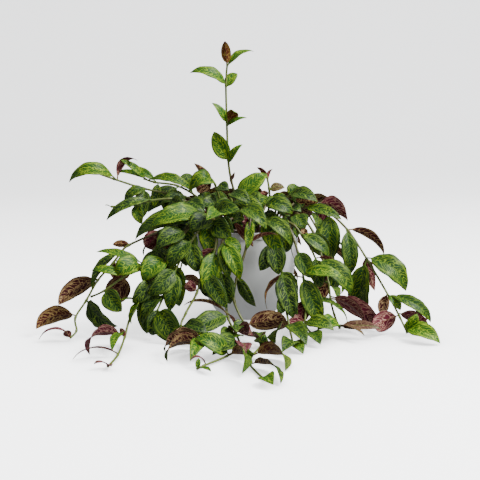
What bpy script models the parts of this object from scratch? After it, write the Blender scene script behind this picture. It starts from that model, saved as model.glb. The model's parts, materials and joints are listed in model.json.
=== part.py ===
"""A trailing house plant with mottled leaves, rooted in a plain plastic pot.

The pot stands on its flat foot with the origin in the middle of that foot, +Z up.
Each leafy stem is one object: a tube along a hand-chosen route, with a pair of leaves
at most of its nodes. Sizes are metres, apart from the stem routes and the leaf
tables, which are millimetres.
"""

import itertools
import math
import random
from typing import NamedTuple

import bmesh
import bpy
from mathutils import Matrix, Vector
from mathutils.bvhtree import BVHTree

MM = 0.001

# Pot
POT_HEIGHT = 0.130
RIM_RADIUS = 0.075
FOOT_RADIUS = 0.0385
WALL = 0.0022
BASE_THICKNESS = 0.003
RIM_LIP = 0.0012
LIP_HEIGHT = 0.009
EDGE_ROUND = 0.001
SWELL_POWER = 2.9
POT_SIDES = 28
POT_SHARP_ANGLE = 35
POT_RINGS = 5
DRAIN_HOLES = 6
DRAIN_RING = 0.022
DRAIN_RADIUS = 0.004
DRAIN_SIDES = 6
DRAIN_PASS = 0.002

# Potting soil
SOIL_LEVEL = 0.114
SOIL_CROWN = 0.004
SOIL_SHOULDER = 0.055
SOIL_CURVE_END = 0.012
SOIL_FOOT_RADIUS = 0.0355
SEAT_GAP = 0.0003
# The flats of the faceted shell lie this much inside its round shape
FLAT_ALLOWANCE = 0.0012
SOIL_SIDES = 20
SOIL_SHARP_ANGLE = 30
SOIL_RINGS = 3
ROOT_DEPTH = 0.018
ROOT_ROOM = 0.001
HOLE_SIDES = 5
HOLE_PASS = 0.012

# Stems and leaves
STEM_RADIUS = 0.0017
STEM_TAPER = 0.55
STEM_SPAN = 0.046
STEM_RISE = 0.010
WELD = 0.00001
TURN_WELD = 0.00005
BLADE_THICKNESS = 0.0008
PETIOLE_SHARE = 0.1
PETIOLE_WIDTH = 0.003
# Powers of the outline's rise from the petiole and of its fall to the tip
OUTLINE_POWERS = (0.64, 0.92)
# The blade takes this share of the width that the tables allow each leaf
BLADE_SHARE = 0.94
# How much larger than in the tables every leaf has grown
LEAF_GROWTH = 1.06
FOLD = 0.22
# Rows of points along a leaf, for leaves up to each length
LEAF_ROWS = {
    0.033: (0.0, 0.42, 1.0),
    0.063: (0.0, 0.3, 0.66, 1.0),
    math.inf: (0.0, PETIOLE_SHARE, 0.34, 0.68, 1.0),
}
BEND_AT = (0.28, 0.74)
LEAST_FACING = 0.15
ROOT_SUNK = 0.0004
AXIL_STEP = 0.0027
LEAST_LEVEL = 0.0001
LEAF_SHARP_ANGLE = 50

# How a leaf may be changed to keep it clear of the rest
CLEARANCE = 0.0009
FLOOR_CLEARANCE = 0.0006
LEAF_SIZES = (1.0, 0.88, 0.76, 0.62)
LEAF_TURNS = (0, 7, -7, 14, -14, 22, -22, 32, -32, 45, -45)
LEAF_TILTS = (0, 7, -7, 14, -14, 22, -22, 32, -32)
SIZE_COST = 90

FACING = {
    "u": Vector((0, 0, 1)),
    "f": Vector((0, -1, 0)),
    "b": Vector((0, 1, 0)),
    "l": Vector((-1, 0, 0)),
    "r": Vector((1, 0, 0)),
}


class Leaf(NamedTuple):
    """Where a leaf's tip lies from its node, its width and arch (mm), and where its face looks."""

    dx: float
    dy: float
    dz: float
    width: float
    bow: float
    face: str


class Node(NamedTuple):
    """A joint of the stem in mm, with the leaves that grow there."""

    at: tuple
    leaves: tuple = ()


class Stem(NamedTuple):
    """A leafy stem: its name, its hole in the soil in mm, how large its leaves grow, its nodes."""

    name: str
    hole: tuple
    vigour: float
    nodes: list


def node(x, y, z, *leaves):
    return Node((x, y, z), tuple(Leaf(*leaf) for leaf in leaves))


# The stems that hang or stand in front and at the sides, each from the soil to its tip
STEMS = [
    Stem("stem_upright", (-12, 4), 1.0, [
        node(-14, 0, 165, (42, 12, 38, 30, 6, "uf")),
        node(-21, 0, 193),
        node(-25, 0, 222, (-14, 10, 42, 24, 4, "f"), (18, -8, 27, 12, 6, "uf")),
        node(-27, 0, 276, (-19, -8, 28, 13, 5, "uf"), (5, -12, 27, 17, 6, "b"),
              (20, -2, 22, 8, 6, "uf")),
        node(-28, 0, 327, (-48, -12, 20, 20, 14, "uf"),
              (14, 16, 20, 16, 5, "uf")),
        node(-26, 0, 356, (-3, -9, 32, 14, 3, "b"),
              (29, 8, 29, 16, 8, "ulf")),
    ]),
    Stem("stem_left_high", (-46, 24), 1.0, [
        node(-59, 30, 152, (-10, -20, 20, 24, 8, "uf")),
        node(-88, 30, 165, (-32, -16, -4, 24, 6, "uf"), (-28, 14, -14, 22, 5, "uf")),
        node(-116, 28, 171, (14, -16, -24, 22, 6, "f")),
        node(-147, 25, 178, (-7, -16, -42, 24, 8, "f"),
              (-31, -8, -18, 18, 12, "uf")),
        node(-188, 20, 192, (-64, -12, -2, 23, 26, "uf"),
              (28, -2, 28, 14, 20, "bl")),
        node(-230, 15, 208),
    ]),
    Stem("stem_left_shoot", (-38, 40), 1.05, [
        node(-67, 52, 158),
        node(-99, 50, 178, (-40, -22, -30, 28, 6, "uf"), (20, 16, 12, 24, 6, "uf")),
        node(-132, 45, 184, (-36, 12, 18, 12, 8, "uf"), (-3, -10, -35, 14, 4, "f")),
        node(-148, 42, 190, (-33, -5, 27, 12, 5, "uf"),
              (-40, 5, 9, 9, 8, "uf"), (60, -6, -17, 16, 20, "uf")),
    ]),
    Stem("stem_left_arm", (-54, 8), 1.1, [
        node(-62, 0, 146, (-16, -34, -8, 26, 8, "uf")),
        node(-86, -5, 164, (22, -25, -12, 24, 6, "uf"), (-25, -15, -12, 22, 6, "uf")),
        node(-108, -10, 168, (18, -18, -14, 24, 6, "f")),
        node(-134, -15, 166, (-55, -14, -22, 14, 14, "uf")),
        node(-157, -20, 161, (8, -14, -22, 16, 3, "f")),
        node(-188, -25, 159),
    ]),
    Stem("stem_left_big", (-38, -30), 1.12, [
        node(-44, -42, 148, (30, -26, -8, 28, 8, "uf")),
        node(-63, -54, 147, (-80, -12, -22, 28, 20, "uf"),
              (-60, -30, -14, 28, 17, "uf")),
        node(-82, -66, 136, (-2, -20, -42, 28, 12, "f"),
              (-26, 10, -18, 22, 6, "uf")),
        node(-92, -82, 114, (-38, -6, -18, 24, 6, "b"),
              (12, -16, -28, 20, 5, "f")),
        node(-96, -92, 88, (-34, -8, -26, 24, 8, "b"), (4, -14, -50, 23, 8, "f")),
    ]),
    Stem("stem_left_mid", (-54, -8), 1.05, [
        node(-80, -28, 147, (-34, -14, -10, 30, 8, "uf")),
        node(-119, -48, 129, (-20, -22, -14, 26, 5, "b"), (24, -26, -16, 28, 6, "uf")),
        node(-160, -70, 113, (-22, -8, 2, 10, 3, "b")),
        node(-171, -78, 103, (-20, -16, -54, 18, 12, "fl")),
        node(-180, -86, 92, (6, -12, -22, 20, 4, "b"), (18, -10, -20, 18, 5, "b")),
        node(-200, -100, 70, (-50, -12, -30, 26, 12, "bbu")),
        node(-214, -114, 46, (38, -24, -30, 32, 9, "fl")),
        node(-227, -128, 26, (-50, -8, -14, 26, 14, "bbu")),
        node(-224, -142, 12),
        node(-231, -152, 5, (-38, -9, -1, 12, 11, "u")),
    ]),
    Stem("stem_left_low", (-48, -20), 1.12, [
        node(-68, -38, 150, (-24, -20, -14, 28, 8, "uf")),
        node(-100, -58, 136, (-20, 10, -24, 20, 6, "f")),
        node(-123, -80, 111, (-6, -22, -50, 30, 8, "f"), (20, -16, -36, 26, 6, "f")),
        node(-143, -100, 90, (-28, -18, -8, 30, 8, "uf"),
              (-50, 2, 20, 12, 8, "uf")),
        node(-165, -112, 77, (-36, -5, 12, 12, 8, "uf"), (-18, -12, -32, 30, 6, "b")),
        node(-190, -118, 60, (20, -16, -22, 24, 5, "f")),
        node(-208, -108, 50),
    ]),
    Stem("stem_left_inner", (-28, -42), 1.15, [
        node(-48, -74, 150, (-24, -18, -10, 28, 8, "uf"), (18, -16, -22, 26, 6, "f")),
        node(-76, -98, 120, (8, -12, -32, 22, 6, "f"), (-26, -16, -30, 24, 10, "uf")),
        node(-96, -114, 84, (-6, -16, -42, 22, 8, "f"), (-24, -16, -34, 24, 8, "f")),
        node(-110, -126, 54, (-24, -14, -30, 22, 8, "fl")),
        node(-118, -138, 37, (26, -24, -36, 32, 8, "f"), (-14, -16, -30, 24, 5, "f")),
    ]),
    Stem("stem_left_front", (-41, -39), 1.1, [
        node(-56, -62, 150, (8, -20, -46, 24, 10, "f")),
        node(-84, -84, 132, (-22, -16, -34, 28, 8, "uf")),
        node(-110, -102, 98, (-28, -18, -22, 28, 8, "uf")),
        node(-128, -118, 70, (-2, -16, -42, 24, 8, "f"),
              (-22, -16, -25, 22, 8, "f")),
        node(-142, -128, 46, (-42, -8, -16, 14, 12, "u"),
              (-10, -14, -28, 14, 4, "fl"), (6, -14, -40, 18, 4, "f")),
        node(-154, -144, 26),
        node(-158, -168, 10, (-34, -54, -6, 22, 18, "bbu"),
              (-10, -52, -4, 14, 8, "ub")),
        node(-161, -228, 3.5, (-46, -22, 1, 10, 10, "ul")),
        node(-168, -275, 3, (-14, -12, 6, 8, 3, "u")),
    ]),
    Stem("stem_front_left", (-16, -46), 1.12, [
        node(-36, -74, 152, (-14, -34, -18, 22, 10, "uf"),
              (16, -18, -14, 22, 6, "f")),
        node(-43, -96, 108, (-13, -18, -46, 26, 10, "f"),
              (-24, -6, -20, 14, 5, "ub")),
        node(-58, -112, 84, (19, -8, -46, 22, 6, "f"), (-8, -10, -34, 20, 5, "f")),
        node(-66, -122, 58, (-14, -6, 10, 14, 4, "b")),
        node(-80, -136, 34),
        node(-84, -152, 18, (22, -32, 0, 22, 6, "uf")),
        node(-50, -205, 10, (-46, -22, -6, 28, 14, "bbu"),
              (-38, -50, -5, 24, 15, "bbu"), (-12, -60, -2, 18, 10, "uf")),
    ]),
    Stem("stem_centre", (-4, -52), 1.08, [
        node(-20, -75, 150, (22, -26, -28, 10, 4, "b"), (14, -10, 4, 24, 5, "uf")),
        node(-33, -95, 118, (21, -20, -41, 22, 14, "uf"),
              (4, -14, -46, 19, 8, "f"),
              (30, -14, -14, 20, 8, "uf")),
        node(-34, -103, 78, (-14, -12, -48, 22, 7, "f"),
              (12, -10, -38, 26, 6, "f")),
        node(-28, -112, 46),
        node(-24, -126, 24, (-48, -32, -10, 28, 12, "uf"), (-52, 2, 12, 9, 12, "ub"),
              (9, -14, -26, 8, 5, "ub")),
        node(-12, -154, 7, (-16, -40, 4, 28, 6, "uf"), (6, -42, 4, 20, 6, "uf"),
              (34, -22, 8, 22, 8, "b")),
        node(-9, -195, 4, (-30, -44, 4, 30, 12, "uf"),
              (-12, -46, 3, 20, 8, "bbu")),
        node(-25, -233, 3.5, (16, -74, 2, 20, 16, "ur"), (-43, -6, 6, 25, 10, "uf")),
        node(-52, -272, 3, (-16, -6, 8, 9, 6, "u")),
        node(-60, -285, 3, (14, -20, 3, 8, 2, "u")),
    ]),
    Stem("stem_centre_right", (8, -50), 1.0, [
        node(6, -77, 152, (-4, -22, -38, 14, 5, "f"), (-12, -12, -4, 24, 6, "b")),
        node(0, -97, 116, (40, -10, 16, 9, 7, "ub")),
        node(-13, -108, 74, (20, -14, -38, 14, 5, "fl"),
              (12, -20, -40, 12, 4, "f")),
        node(-16, -120, 46),
        node(0, -140, 17, (52, -14, 10, 27, 8, "b"), (-20, -14, -6, 20, 4, "uf")),
        node(18, -180, 5, (8, -16, 12, 20, 5, "f"), (-16, -40, 3, 18, 6, "uf")),
        node(6, -234, 3.5, (38, -56, -1, 30, 18, "bbu")),
        node(4, -270, 3, (34, -76, 2, 20, 12, "bbu")),
        node(20, -330, 3, (9, -34, 5, 20, 6, "uf")),
    ]),
    Stem("stem_front_right", (22, -48), 1.05, [
        node(23, -74, 150, (18, -24, -46, 23, 10, "f"),
              (32, -20, -32, 22, 18, "uf")),
        node(39, -95, 118, (-18, -10, -32, 22, 4, "f"),
              (4, -10, -40, 26, 6, "f")),
        node(48, -106, 80, (4, -8, -58, 28, 6, "f"), (16, -12, -30, 24, 5, "f")),
        node(51, -120, 48, (18, -14, -26, 22, 5, "f"), (-6, -14, -22, 16, 4, "f")),
        node(57, -144, 15, (-20, -46, -6, 28, 8, "bbu"), (18, -60, -6, 24, 8, "uf")),
        node(60, -186, 5, (-14, -44, 4, 22, 8, "uf"),
              (14, -42, 0, 24, 8, "uf")),
    ]),
    Stem("stem_right_mid", (42, -34), 1.0, [
        node(47, -46, 143, (10, -28, -26, 26, 8, "f")),
        node(65, -60, 139, (2, -6, -44, 6, 3, "l"), (10, 14, -20, 20, 5, "uf")),
        node(77, -68, 124, (8, 4, 8, 12, 2, "b"), (38, -10, -28, 20, 8, "uf")),
        node(88, -75, 109),
        node(96, -82, 92, (46, -10, -44, 30, 18, "uf"), (34, -4, -6, 8, 9, "ub"),
              (18, -16, -34, 22, 8, "f")),
        node(104, -88, 77),
    ]),
    Stem("stem_right_inner", (50, -22), 1.1, [
        node(70, -30, 150, (8, -22, -20, 24, 5, "uf")),
        node(92, -50, 128, (20, 10, -34, 24, 5, "f")),
        node(104, -64, 94, (22, 8, -40, 26, 5, "f")),
        node(112, -82, 62, (-14, -6, -24, 18, 4, "b")),
        node(114, -96, 42, (60, -10, -36, 25, 13, "bbu"),
              (42, -22, -30, 22, 10, "ub")),
        node(118, -112, 26),
        node(124, -130, 12, (46, -14, 2, 14, 5, "uf"),
              (30, -30, -8, 10, 4, "u"),
              (-26, -24, 0, 22, 8, "uf")),
    ]),
    Stem("stem_right_front", (34, -44), 1.1, [
        node(54, -64, 142, (10, -16, -30, 22, 8, "uf")),
        node(70, -88, 106, (16, -12, -30, 22, 5, "f")),
        node(77, -102, 72, (-44, -8, -36, 16, 20, "ulb"),
              (16, -14, -58, 26, 8, "f"),
              (48, -14, -2, 18, 10, "uf")),
        node(80, -116, 44, (36, -30, -36, 22, 12, "ur"), (-8, -16, -26, 20, 4, "b")),
        node(78, -132, 19, (30, -24, -12, 22, 6, "uf"), (-22, -10, -6, 16, 5, "b")),
        node(86, -148, 9, (8, -36, 6, 18, 5, "uf")),
    ]),
    Stem("stem_right_long", (54, -6), 1.0, [
        node(66, -7, 146, (12, -26, 4, 24, 8, "uf")),
        node(84, -11, 156, (48, -28, -10, 18, 8, "uf"), (-8, 20, 14, 20, 6, "uf")),
        node(105, -20, 161, (-33, 6, 8, 22, 6, "b"), (42, 10, -22, 26, 20, "bbu")),
        node(117, -28, 151, (10, -22, -66, 32, 14, "f"),
              (-10, -12, -10, 16, 3, "b")),
        node(142, -40, 127, (50, -8, -34, 15, 25, "bbu"),
              (6, -6, -62, 24, 14, "uf")),
        node(167, -65, 90, (2, -24, -80, 38, 14, "fl"),
              (52, -12, -42, 34, 22, "uf"),
              (14, 8, -48, 16, 6, "b")),
        node(193, -104, 47, (54, -12, -32, 18, 18, "uf"), (12, -14, -18, 14, 6, "uf"),
              (-8, -16, -26, 16, 5, "b")),
        node(204, -124, 26, (-34, -16, -14, 27, 8, "b"),
              (42, -10, -14, 20, 8, "bbu")),
        node(212, -142, 9, (12, -6, 24, 18, 3, "f"), (40, -32, -2, 26, 10, "uf"),
              (28, -2, 12, 16, 5, "b")),
    ]),
    Stem("stem_right_top", (40, 14), 1.0, [
        node(46, 12, 144, (20, 18, -2, 22, 6, "uf")),
        node(54, 8, 162, (28, 0, 12, 7, 6, "u"), (-8, -10, 6, 18, 4, "uf")),
        node(64, 4, 172, (34, -16, -20, 24, 10, "uf"), (14, 14, 14, 18, 6, "uf")),
    ]),
    Stem("stem_back_shoot", (28, 24), 1.0, [
        node(32, 22, 145),
        node(34, 20, 160, (26, -6, 8, 18, 6, "uf"), (-20, 14, 4, 18, 5, "uf")),
        node(33, 20, 178, (22, 2, 5, 16, 4, "uf"), (-14, -6, -4, 10, 3, "b")),
        node(30, 20, 195, (-14, 0, 16, 9, 3, "ub"), (6, 4, 16, 8, 3, "bl")),
    ]),
    Stem("stem_mound_left", (-26, 22), 1.12, [
        node(-34, 22, 150, (-30, -24, -6, 26, 8, "uf"), (-14, 22, 20, 24, 6, "uf")),
        node(-44, 20, 184, (-34, -12, -6, 25, 22, "uf"),
              (16, -14, 0, 20, 4, "uf")),
        node(-50, 22, 192, (-22, 10, 20, 9, 4, "b"), (-22, -10, -8, 22, 5, "b")),
    ]),
    Stem("stem_mound_front", (-8, -22), 1.15, [
        node(-13, -28, 148, (8, -30, -22, 24, 8, "f"), (-20, -20, -12, 24, 8, "f")),
        node(-20, -30, 168, (38, -18, -16, 22, 14, "uf"), (-36, -14, -6, 24, 12, "uf")),
        node(-24, -32, 178, (24, -22, -12, 18, 10, "uf")),
    ]),
    Stem("stem_mound_rim", (2, -36), 1.1, [
        node(1, -46, 146, (-28, -24, -2, 20, 8, "uf"), (4, -42, -24, 24, 16, "uf")),
        node(-4, -54, 161, (-24, -26, -10, 26, 8, "uf"), (24, -30, -16, 22, 12, "uf")),
        node(-8, -66, 157, (-24, -24, -38, 24, 14, "uf"), (20, -24, -38, 24, 14, "uf")),
    ]),
    Stem("stem_mound_back", (-2, 34), 1.15, [
        node(-6, 42, 148, (-34, 22, -6, 26, 8, "ub"), (30, 22, -12, 26, 8, "ub")),
        node(-4, 50, 162, (-22, 28, -8, 24, 8, "ub"), (28, 12, 2, 24, 8, "ub")),
    ]),
    Stem("stem_mound_right", (17, -10), 1.15, [
        node(20, -16, 148, (22, -28, -12, 26, 8, "uf"), (-20, -26, -6, 26, 8, "uf")),
        node(26, -18, 164, (34, -10, -10, 24, 10, "uf"), (-22, 12, 6, 24, 6, "uf")),
        node(30, -18, 173, (-6, -26, -6, 20, 6, "uf")),
    ]),
]

# Stems at the back and the far sides: hole (x, y), bearing (degrees), reach and end height (mm)
REAR_STEMS = {
    "stem_back_left": ((-32, 44), 128, 165, 22),
    "stem_back_middle": ((-6, 52), 98, 185, 10),
    "stem_back_right": ((18, 48), 68, 150, 40),
    "stem_back_far_right": ((38, 36), 40, 170, 18),
    "stem_far_right": ((50, 22), 16, 140, 56),
    "stem_far_left": ((-53, 20), 163, 142, 50),
}
REAR_SEED = 11
REAR_NODES = 4
REAR_CREST = 152
REAR_ARCH = 8
REAR_WANDER = 7
REAR_FIRST_REACH = 0.22
REAR_DROP_FROM = 0.2
REAR_DROP_POWER = 1.7
REAR_FACES_BACK = 0.5
REAR_LEAF_LENGTH = (50, 72)
REAR_LEAF_SHRINK = 0.3
REAR_SWINGS = (105, 55)
REAR_SWING_SPREAD = 14
REAR_LEAF_FALL = (-0.15, -0.9)
REAR_FALL_SPREAD = 0.2
REAR_LEAF_WIDTH = (0.38, 0.46)
REAR_LEAF_BOW = (0.1, 0.2)


def clear_scene():
    for thing in list(bpy.data.objects):
        bpy.data.objects.remove(thing, do_unlink=True)


def new_collection(name):
    collection = bpy.data.collections.new(name)
    bpy.context.scene.collection.children.link(collection)
    return collection


def make_material(name, color, roughness, metallic=0.0):
    material = bpy.data.materials.new(name)
    material.use_nodes = True
    shader = material.node_tree.nodes["Principled BSDF"]
    shader.inputs["Base Color"].default_value = (*color, 1.0)
    shader.inputs["Roughness"].default_value = roughness
    shader.inputs["Metallic"].default_value = metallic
    return material


def mesh_object(name, mesh, collection, material=None):
    thing = bpy.data.objects.new(name, mesh)
    collection.objects.link(thing)
    if material is not None:
        mesh.materials.append(material)
    return thing


def turned_object(name, profile, sides, collection, material):
    """Turn an open outline, given as (radius, height) from its outer top to the axis."""
    mesh = bpy.data.meshes.new(name)
    shape = bmesh.new()
    points = [shape.verts.new((radius, 0, height)) for radius, height in profile]
    for start, end in zip(points, points[1:]):
        shape.edges.new((start, end))
    shape.to_mesh(mesh)
    shape.free()
    thing = mesh_object(name, mesh, collection, material)
    screw = thing.modifiers.new("turn", "SCREW")
    screw.steps = sides
    screw.render_steps = sides
    screw.use_merge_vertices = True
    screw.merge_threshold = TURN_WELD
    return thing


def apply_modifiers(thing):
    """Replace the object's mesh with the evaluated one."""
    bpy.context.view_layer.update()
    evaluated = thing.evaluated_get(bpy.context.evaluated_depsgraph_get())
    mesh = bpy.data.meshes.new_from_object(evaluated)
    thing.modifiers.clear()
    thing.data = mesh
    return thing


def smooth_shading(thing, angle):
    thing.data.shade_smooth()
    thing.data.set_sharp_from_angle(angle=math.radians(angle))


def add_cutter(name, x, y, low, high, radius, sides, collection):
    """Add an upright round cutter between two heights."""
    mesh = bpy.data.meshes.new(name)
    shape = bmesh.new()
    bmesh.ops.create_cone(shape, cap_ends=True, segments=sides, radius1=radius,
                          radius2=radius, depth=high - low)
    shape.to_mesh(mesh)
    shape.free()
    cutter = mesh_object(name, mesh, collection)
    cutter.location = (x, y, (low + high) / 2)
    cutter.hide_render = True
    cutter.display_type = "WIRE"
    return cutter


def cut(thing, cutters, name):
    boolean = thing.modifiers.new(name, "BOOLEAN")
    boolean.operation = "DIFFERENCE"
    boolean.operand_type = "COLLECTION"
    boolean.collection = cutters
    boolean.solver = "EXACT"


def pot_radius(height):
    """Outer radius of the pot: it swells quickly above the foot, then runs up almost straight."""
    share = min(max(height / POT_HEIGHT, 0.0), 1.0)
    swell = 1 - (1 - share) ** SWELL_POWER
    return FOOT_RADIUS + (RIM_RADIUS - RIM_LIP - FOOT_RADIUS) * swell


def build_pot(collection, cutters):
    """The moulded shell: flat foot, swelling side, rolled lip and drain holes."""
    lip_start = POT_HEIGHT - LIP_HEIGHT
    heights = [lip_start * (1 - step / POT_RINGS) for step in range(POT_RINGS + 1)]
    outer = [(RIM_RADIUS - EDGE_ROUND, POT_HEIGHT), (RIM_RADIUS, POT_HEIGHT - EDGE_ROUND),
             (RIM_RADIUS, lip_start + EDGE_ROUND)]
    outer += [(pot_radius(height), height) for height in heights[:-1]]
    outer += [(pot_radius(EDGE_ROUND), EDGE_ROUND), (FOOT_RADIUS, 0.0), (0.0, 0.0)]
    inner = [(0.0, BASE_THICKNESS), (FOOT_RADIUS - EDGE_ROUND, BASE_THICKNESS)]
    inner += [(pot_radius(height) - WALL, height) for height in reversed(heights[:-1])]
    inner += [(RIM_RADIUS - WALL - RIM_LIP, POT_HEIGHT)]
    profile = outer + inner + outer[:1]
    pot = turned_object("pot", profile, POT_SIDES, collection,
                        make_material("pot_white_plastic", (0.78, 0.79, 0.77), 0.35))
    for index in range(DRAIN_HOLES):
        angle = math.tau * (index + 0.5) / DRAIN_HOLES
        add_cutter(f"drain_cutter_{index}", DRAIN_RING * math.cos(angle),
                   DRAIN_RING * math.sin(angle), -DRAIN_PASS, BASE_THICKNESS + DRAIN_PASS,
                   DRAIN_RADIUS, DRAIN_SIDES, cutters)
    cut(pot, cutters, "drain holes")
    apply_modifiers(pot)
    smooth_shading(pot, POT_SHARP_ANGLE)
    return pot


def build_soil(collection, cutters, holes):
    """The potting mix: it fills the shell to below the rim, with a plain hole for each stem."""
    bottom = BASE_THICKNESS + SEAT_GAP
    inset = WALL + SEAT_GAP + FLAT_ALLOWANCE
    fall = (SOIL_CURVE_END - SOIL_LEVEL) / SOIL_RINGS
    side = [SOIL_LEVEL + fall * step for step in range(SOIL_RINGS + 1)]
    profile = [(0.0, SOIL_LEVEL + SOIL_CROWN), (SOIL_SHOULDER, SOIL_LEVEL + SOIL_CROWN / 4)]
    profile += [(pot_radius(height) - inset, height) for height in side]
    profile += [(SOIL_FOOT_RADIUS, bottom), (0.0, bottom)]
    soil = turned_object("potting_soil", profile, SOIL_SIDES, collection,
                         make_material("potting_soil", (0.045, 0.03, 0.02), 0.95))
    radius = (STEM_RADIUS + SEAT_GAP) / math.cos(math.pi / HOLE_SIDES)
    for index, (x, y) in enumerate(holes):
        add_cutter(f"root_cutter_{index}", x * MM, y * MM, SOIL_LEVEL - ROOT_DEPTH - ROOT_ROOM,
                   SOIL_LEVEL + HOLE_PASS, radius, HOLE_SIDES, cutters)
    cut(soil, cutters, "root holes")
    apply_modifiers(soil)
    smooth_shading(soil, SOIL_SHARP_ANGLE)
    return soil


def smooth_route(points):
    """Points on a Catmull-Rom curve through the given points, no further than a span apart."""
    route = []
    last = len(points) - 1
    for index in range(last):
        before = points[max(index - 1, 0)]
        start, end = points[index], points[index + 1]
        after = points[min(index + 2, last)]
        steps = 1 + int((end - start).length / STEM_SPAN)
        for step in range(steps):
            t = step / steps
            route.append(0.5 * ((2 * start) + (end - before) * t
                                + (2 * before - 5 * start + 4 * end - after) * t * t
                                + (3 * start - before - 3 * end + after) * t ** 3))
    route.append(points[-1])
    return route


def stem_route(stem):
    """The stem's centre line in metres: straight up out of its hole, then through its nodes."""
    x, y = stem.hole[0] * MM, stem.hole[1] * MM
    root = [Vector((x, y, SOIL_LEVEL - ROOT_DEPTH)), Vector((x, y, SOIL_LEVEL + STEM_RISE))]
    stations = root[1:] + [Vector(joint.at) * MM for joint in stem.nodes]
    return root[:1] + smooth_route(stations)


def leaf_base(route, joint, order):
    """Where a leaf leaves the stem: just short of its node, one leaf of a pair below the other."""
    at = Vector(joint.at) * MM
    index = min(range(len(route)), key=lambda item: (route[item] - at).length)
    back = (route[index - 1] - at).normalized()
    return at + back * AXIL_STEP * (order + 1)


def stem_tube(name, route, collection):
    """A tapering tube along the route, made a mesh with its caps welded."""
    curve = bpy.data.curves.new(name, "CURVE")
    curve.dimensions = "3D"
    curve.bevel_depth = STEM_RADIUS
    curve.bevel_resolution = 0
    curve.use_fill_caps = True
    spline = curve.splines.new("POLY")
    spline.points.add(len(route) - 1)
    for index, (point, place) in enumerate(zip(spline.points, route)):
        point.co = (*place, 1.0)
        along = max(index - 1, 0) / (len(route) - 2)
        point.radius = 1.0 - (1.0 - STEM_TAPER) * along
    guide = bpy.data.objects.new(name + "_line", curve)
    collection.objects.link(guide)
    bpy.context.view_layer.update()
    evaluated = guide.evaluated_get(bpy.context.evaluated_depsgraph_get())
    mesh = bpy.data.meshes.new_from_object(evaluated)
    mesh.transform(guide.matrix_world)
    bpy.data.objects.remove(guide, do_unlink=True)
    shape = bmesh.new()
    shape.from_mesh(mesh)
    bmesh.ops.remove_doubles(shape, verts=shape.verts, dist=WELD)
    bmesh.ops.recalc_face_normals(shape, faces=shape.faces)
    shape.to_mesh(mesh)
    shape.free()
    return mesh


def face_direction(letters, chord):
    """The way the upper face looks, square to the leaf's own line."""
    look = sum((FACING[letter] for letter in letters), Vector())
    look -= chord * look.dot(chord)
    if look.length < LEAST_FACING:
        look = FACING["u"] + FACING["f"] * LEAST_FACING
        look -= chord * look.dot(chord)
    return look.normalized()


class Blade:
    """One leaf's surface: a bent midrib with a folded blade of leaf-shaped outline."""

    def __init__(self, base, leaf, turn=0.0, tilt=0.0, size=1.0):
        reach = Vector((leaf.dx, leaf.dy, leaf.dz)) * MM * size
        self.rows = next(rows for limit, rows in LEAF_ROWS.items() if reach.length < limit)
        reach.rotate(Matrix.Rotation(math.radians(turn), 3, "Z"))
        flat = Vector((reach.x, reach.y, 0))
        if flat.length > LEAST_LEVEL:
            axis = flat.cross(Vector((0, 0, 1))).normalized()
            reach.rotate(Matrix.Rotation(math.radians(tilt), 3, axis))
        self.chord = reach.normalized()
        self.look = face_direction(leaf.face, self.chord)
        self.side = self.chord.cross(self.look).normalized()
        self.half_width = leaf.width * BLADE_SHARE * MM * size / 2
        # A cubic rises to three quarters of its two middle control points
        rise = self.look * leaf.bow * MM * size * 4 / 3
        self.control = (base - self.chord * ROOT_SUNK, base + reach * BEND_AT[0] + rise,
                        base + reach * BEND_AT[1] + rise, base + reach)

    def midrib(self, s):
        a, b, c, d = self.control
        r = 1 - s
        return a * r ** 3 + b * 3 * r * r * s + c * 3 * r * s * s + d * s ** 3

    def tangent(self, s):
        a, b, c, d = self.control
        r = 1 - s
        return ((b - a) * r * r + (c - b) * 2 * r * s + (d - c) * s * s).normalized()

    def half(self, s):
        """Half the blade's width at a share of its length: petiole, belly, drawn-out tip."""
        if s <= PETIOLE_SHARE:
            return PETIOLE_WIDTH / 2
        rise, fall = OUTLINE_POWERS
        u = (s - PETIOLE_SHARE) / (1 - PETIOLE_SHARE)
        peak = rise / (rise + fall)
        belly = (u / peak) ** rise * ((1 - u) / (1 - peak)) ** fall
        return max(self.half_width * belly, PETIOLE_WIDTH / 2 * (1 - u))

    def point(self, s, across, lift=0.0):
        """A point of the blade; across runs from -1 to 1 and lift is off its face."""
        upright = self.side.cross(self.tangent(s)).normalized()
        reach = self.half(s) * across
        return self.midrib(s) + self.side * reach + upright * (FOLD * abs(reach) + lift)


def row_columns(s):
    """Where a row has its points: one at root and tip, two over the petiole, three over the blade."""
    if s in (0.0, 1.0):
        return (0,)
    return (-1, 1) if s <= PETIOLE_SHARE else (-1, 0, 1)


def blade_grid(blade, lift, first_row=0):
    """Rows of points over the blade, from its root to its tip."""
    return [[blade.point(s, across, lift) for across in row_columns(s)]
            for s in blade.rows[first_row:]]


def grid_faces(rows, shape):
    """Skin rows of vertices with triangles that all lean the same way."""
    made = [[shape.verts.new(point) for point in row] for row in rows]
    for low, high in zip(made, made[1:]):
        for column in range(len(high) - 1):
            start = min(column, len(low) - 1)
            shape.faces.new((low[start], high[column + 1], high[column]))
        for column in range(len(low) - 1):
            end = min(column + 1, len(high) - 1)
            shape.faces.new((low[column], low[column + 1], high[end]))


def blade_surface(blade):
    mesh = bpy.data.meshes.new("blade")
    shape = bmesh.new()
    grid_faces(blade_grid(blade, 0.0), shape)
    shape.to_mesh(mesh)
    shape.free()
    return mesh


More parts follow.
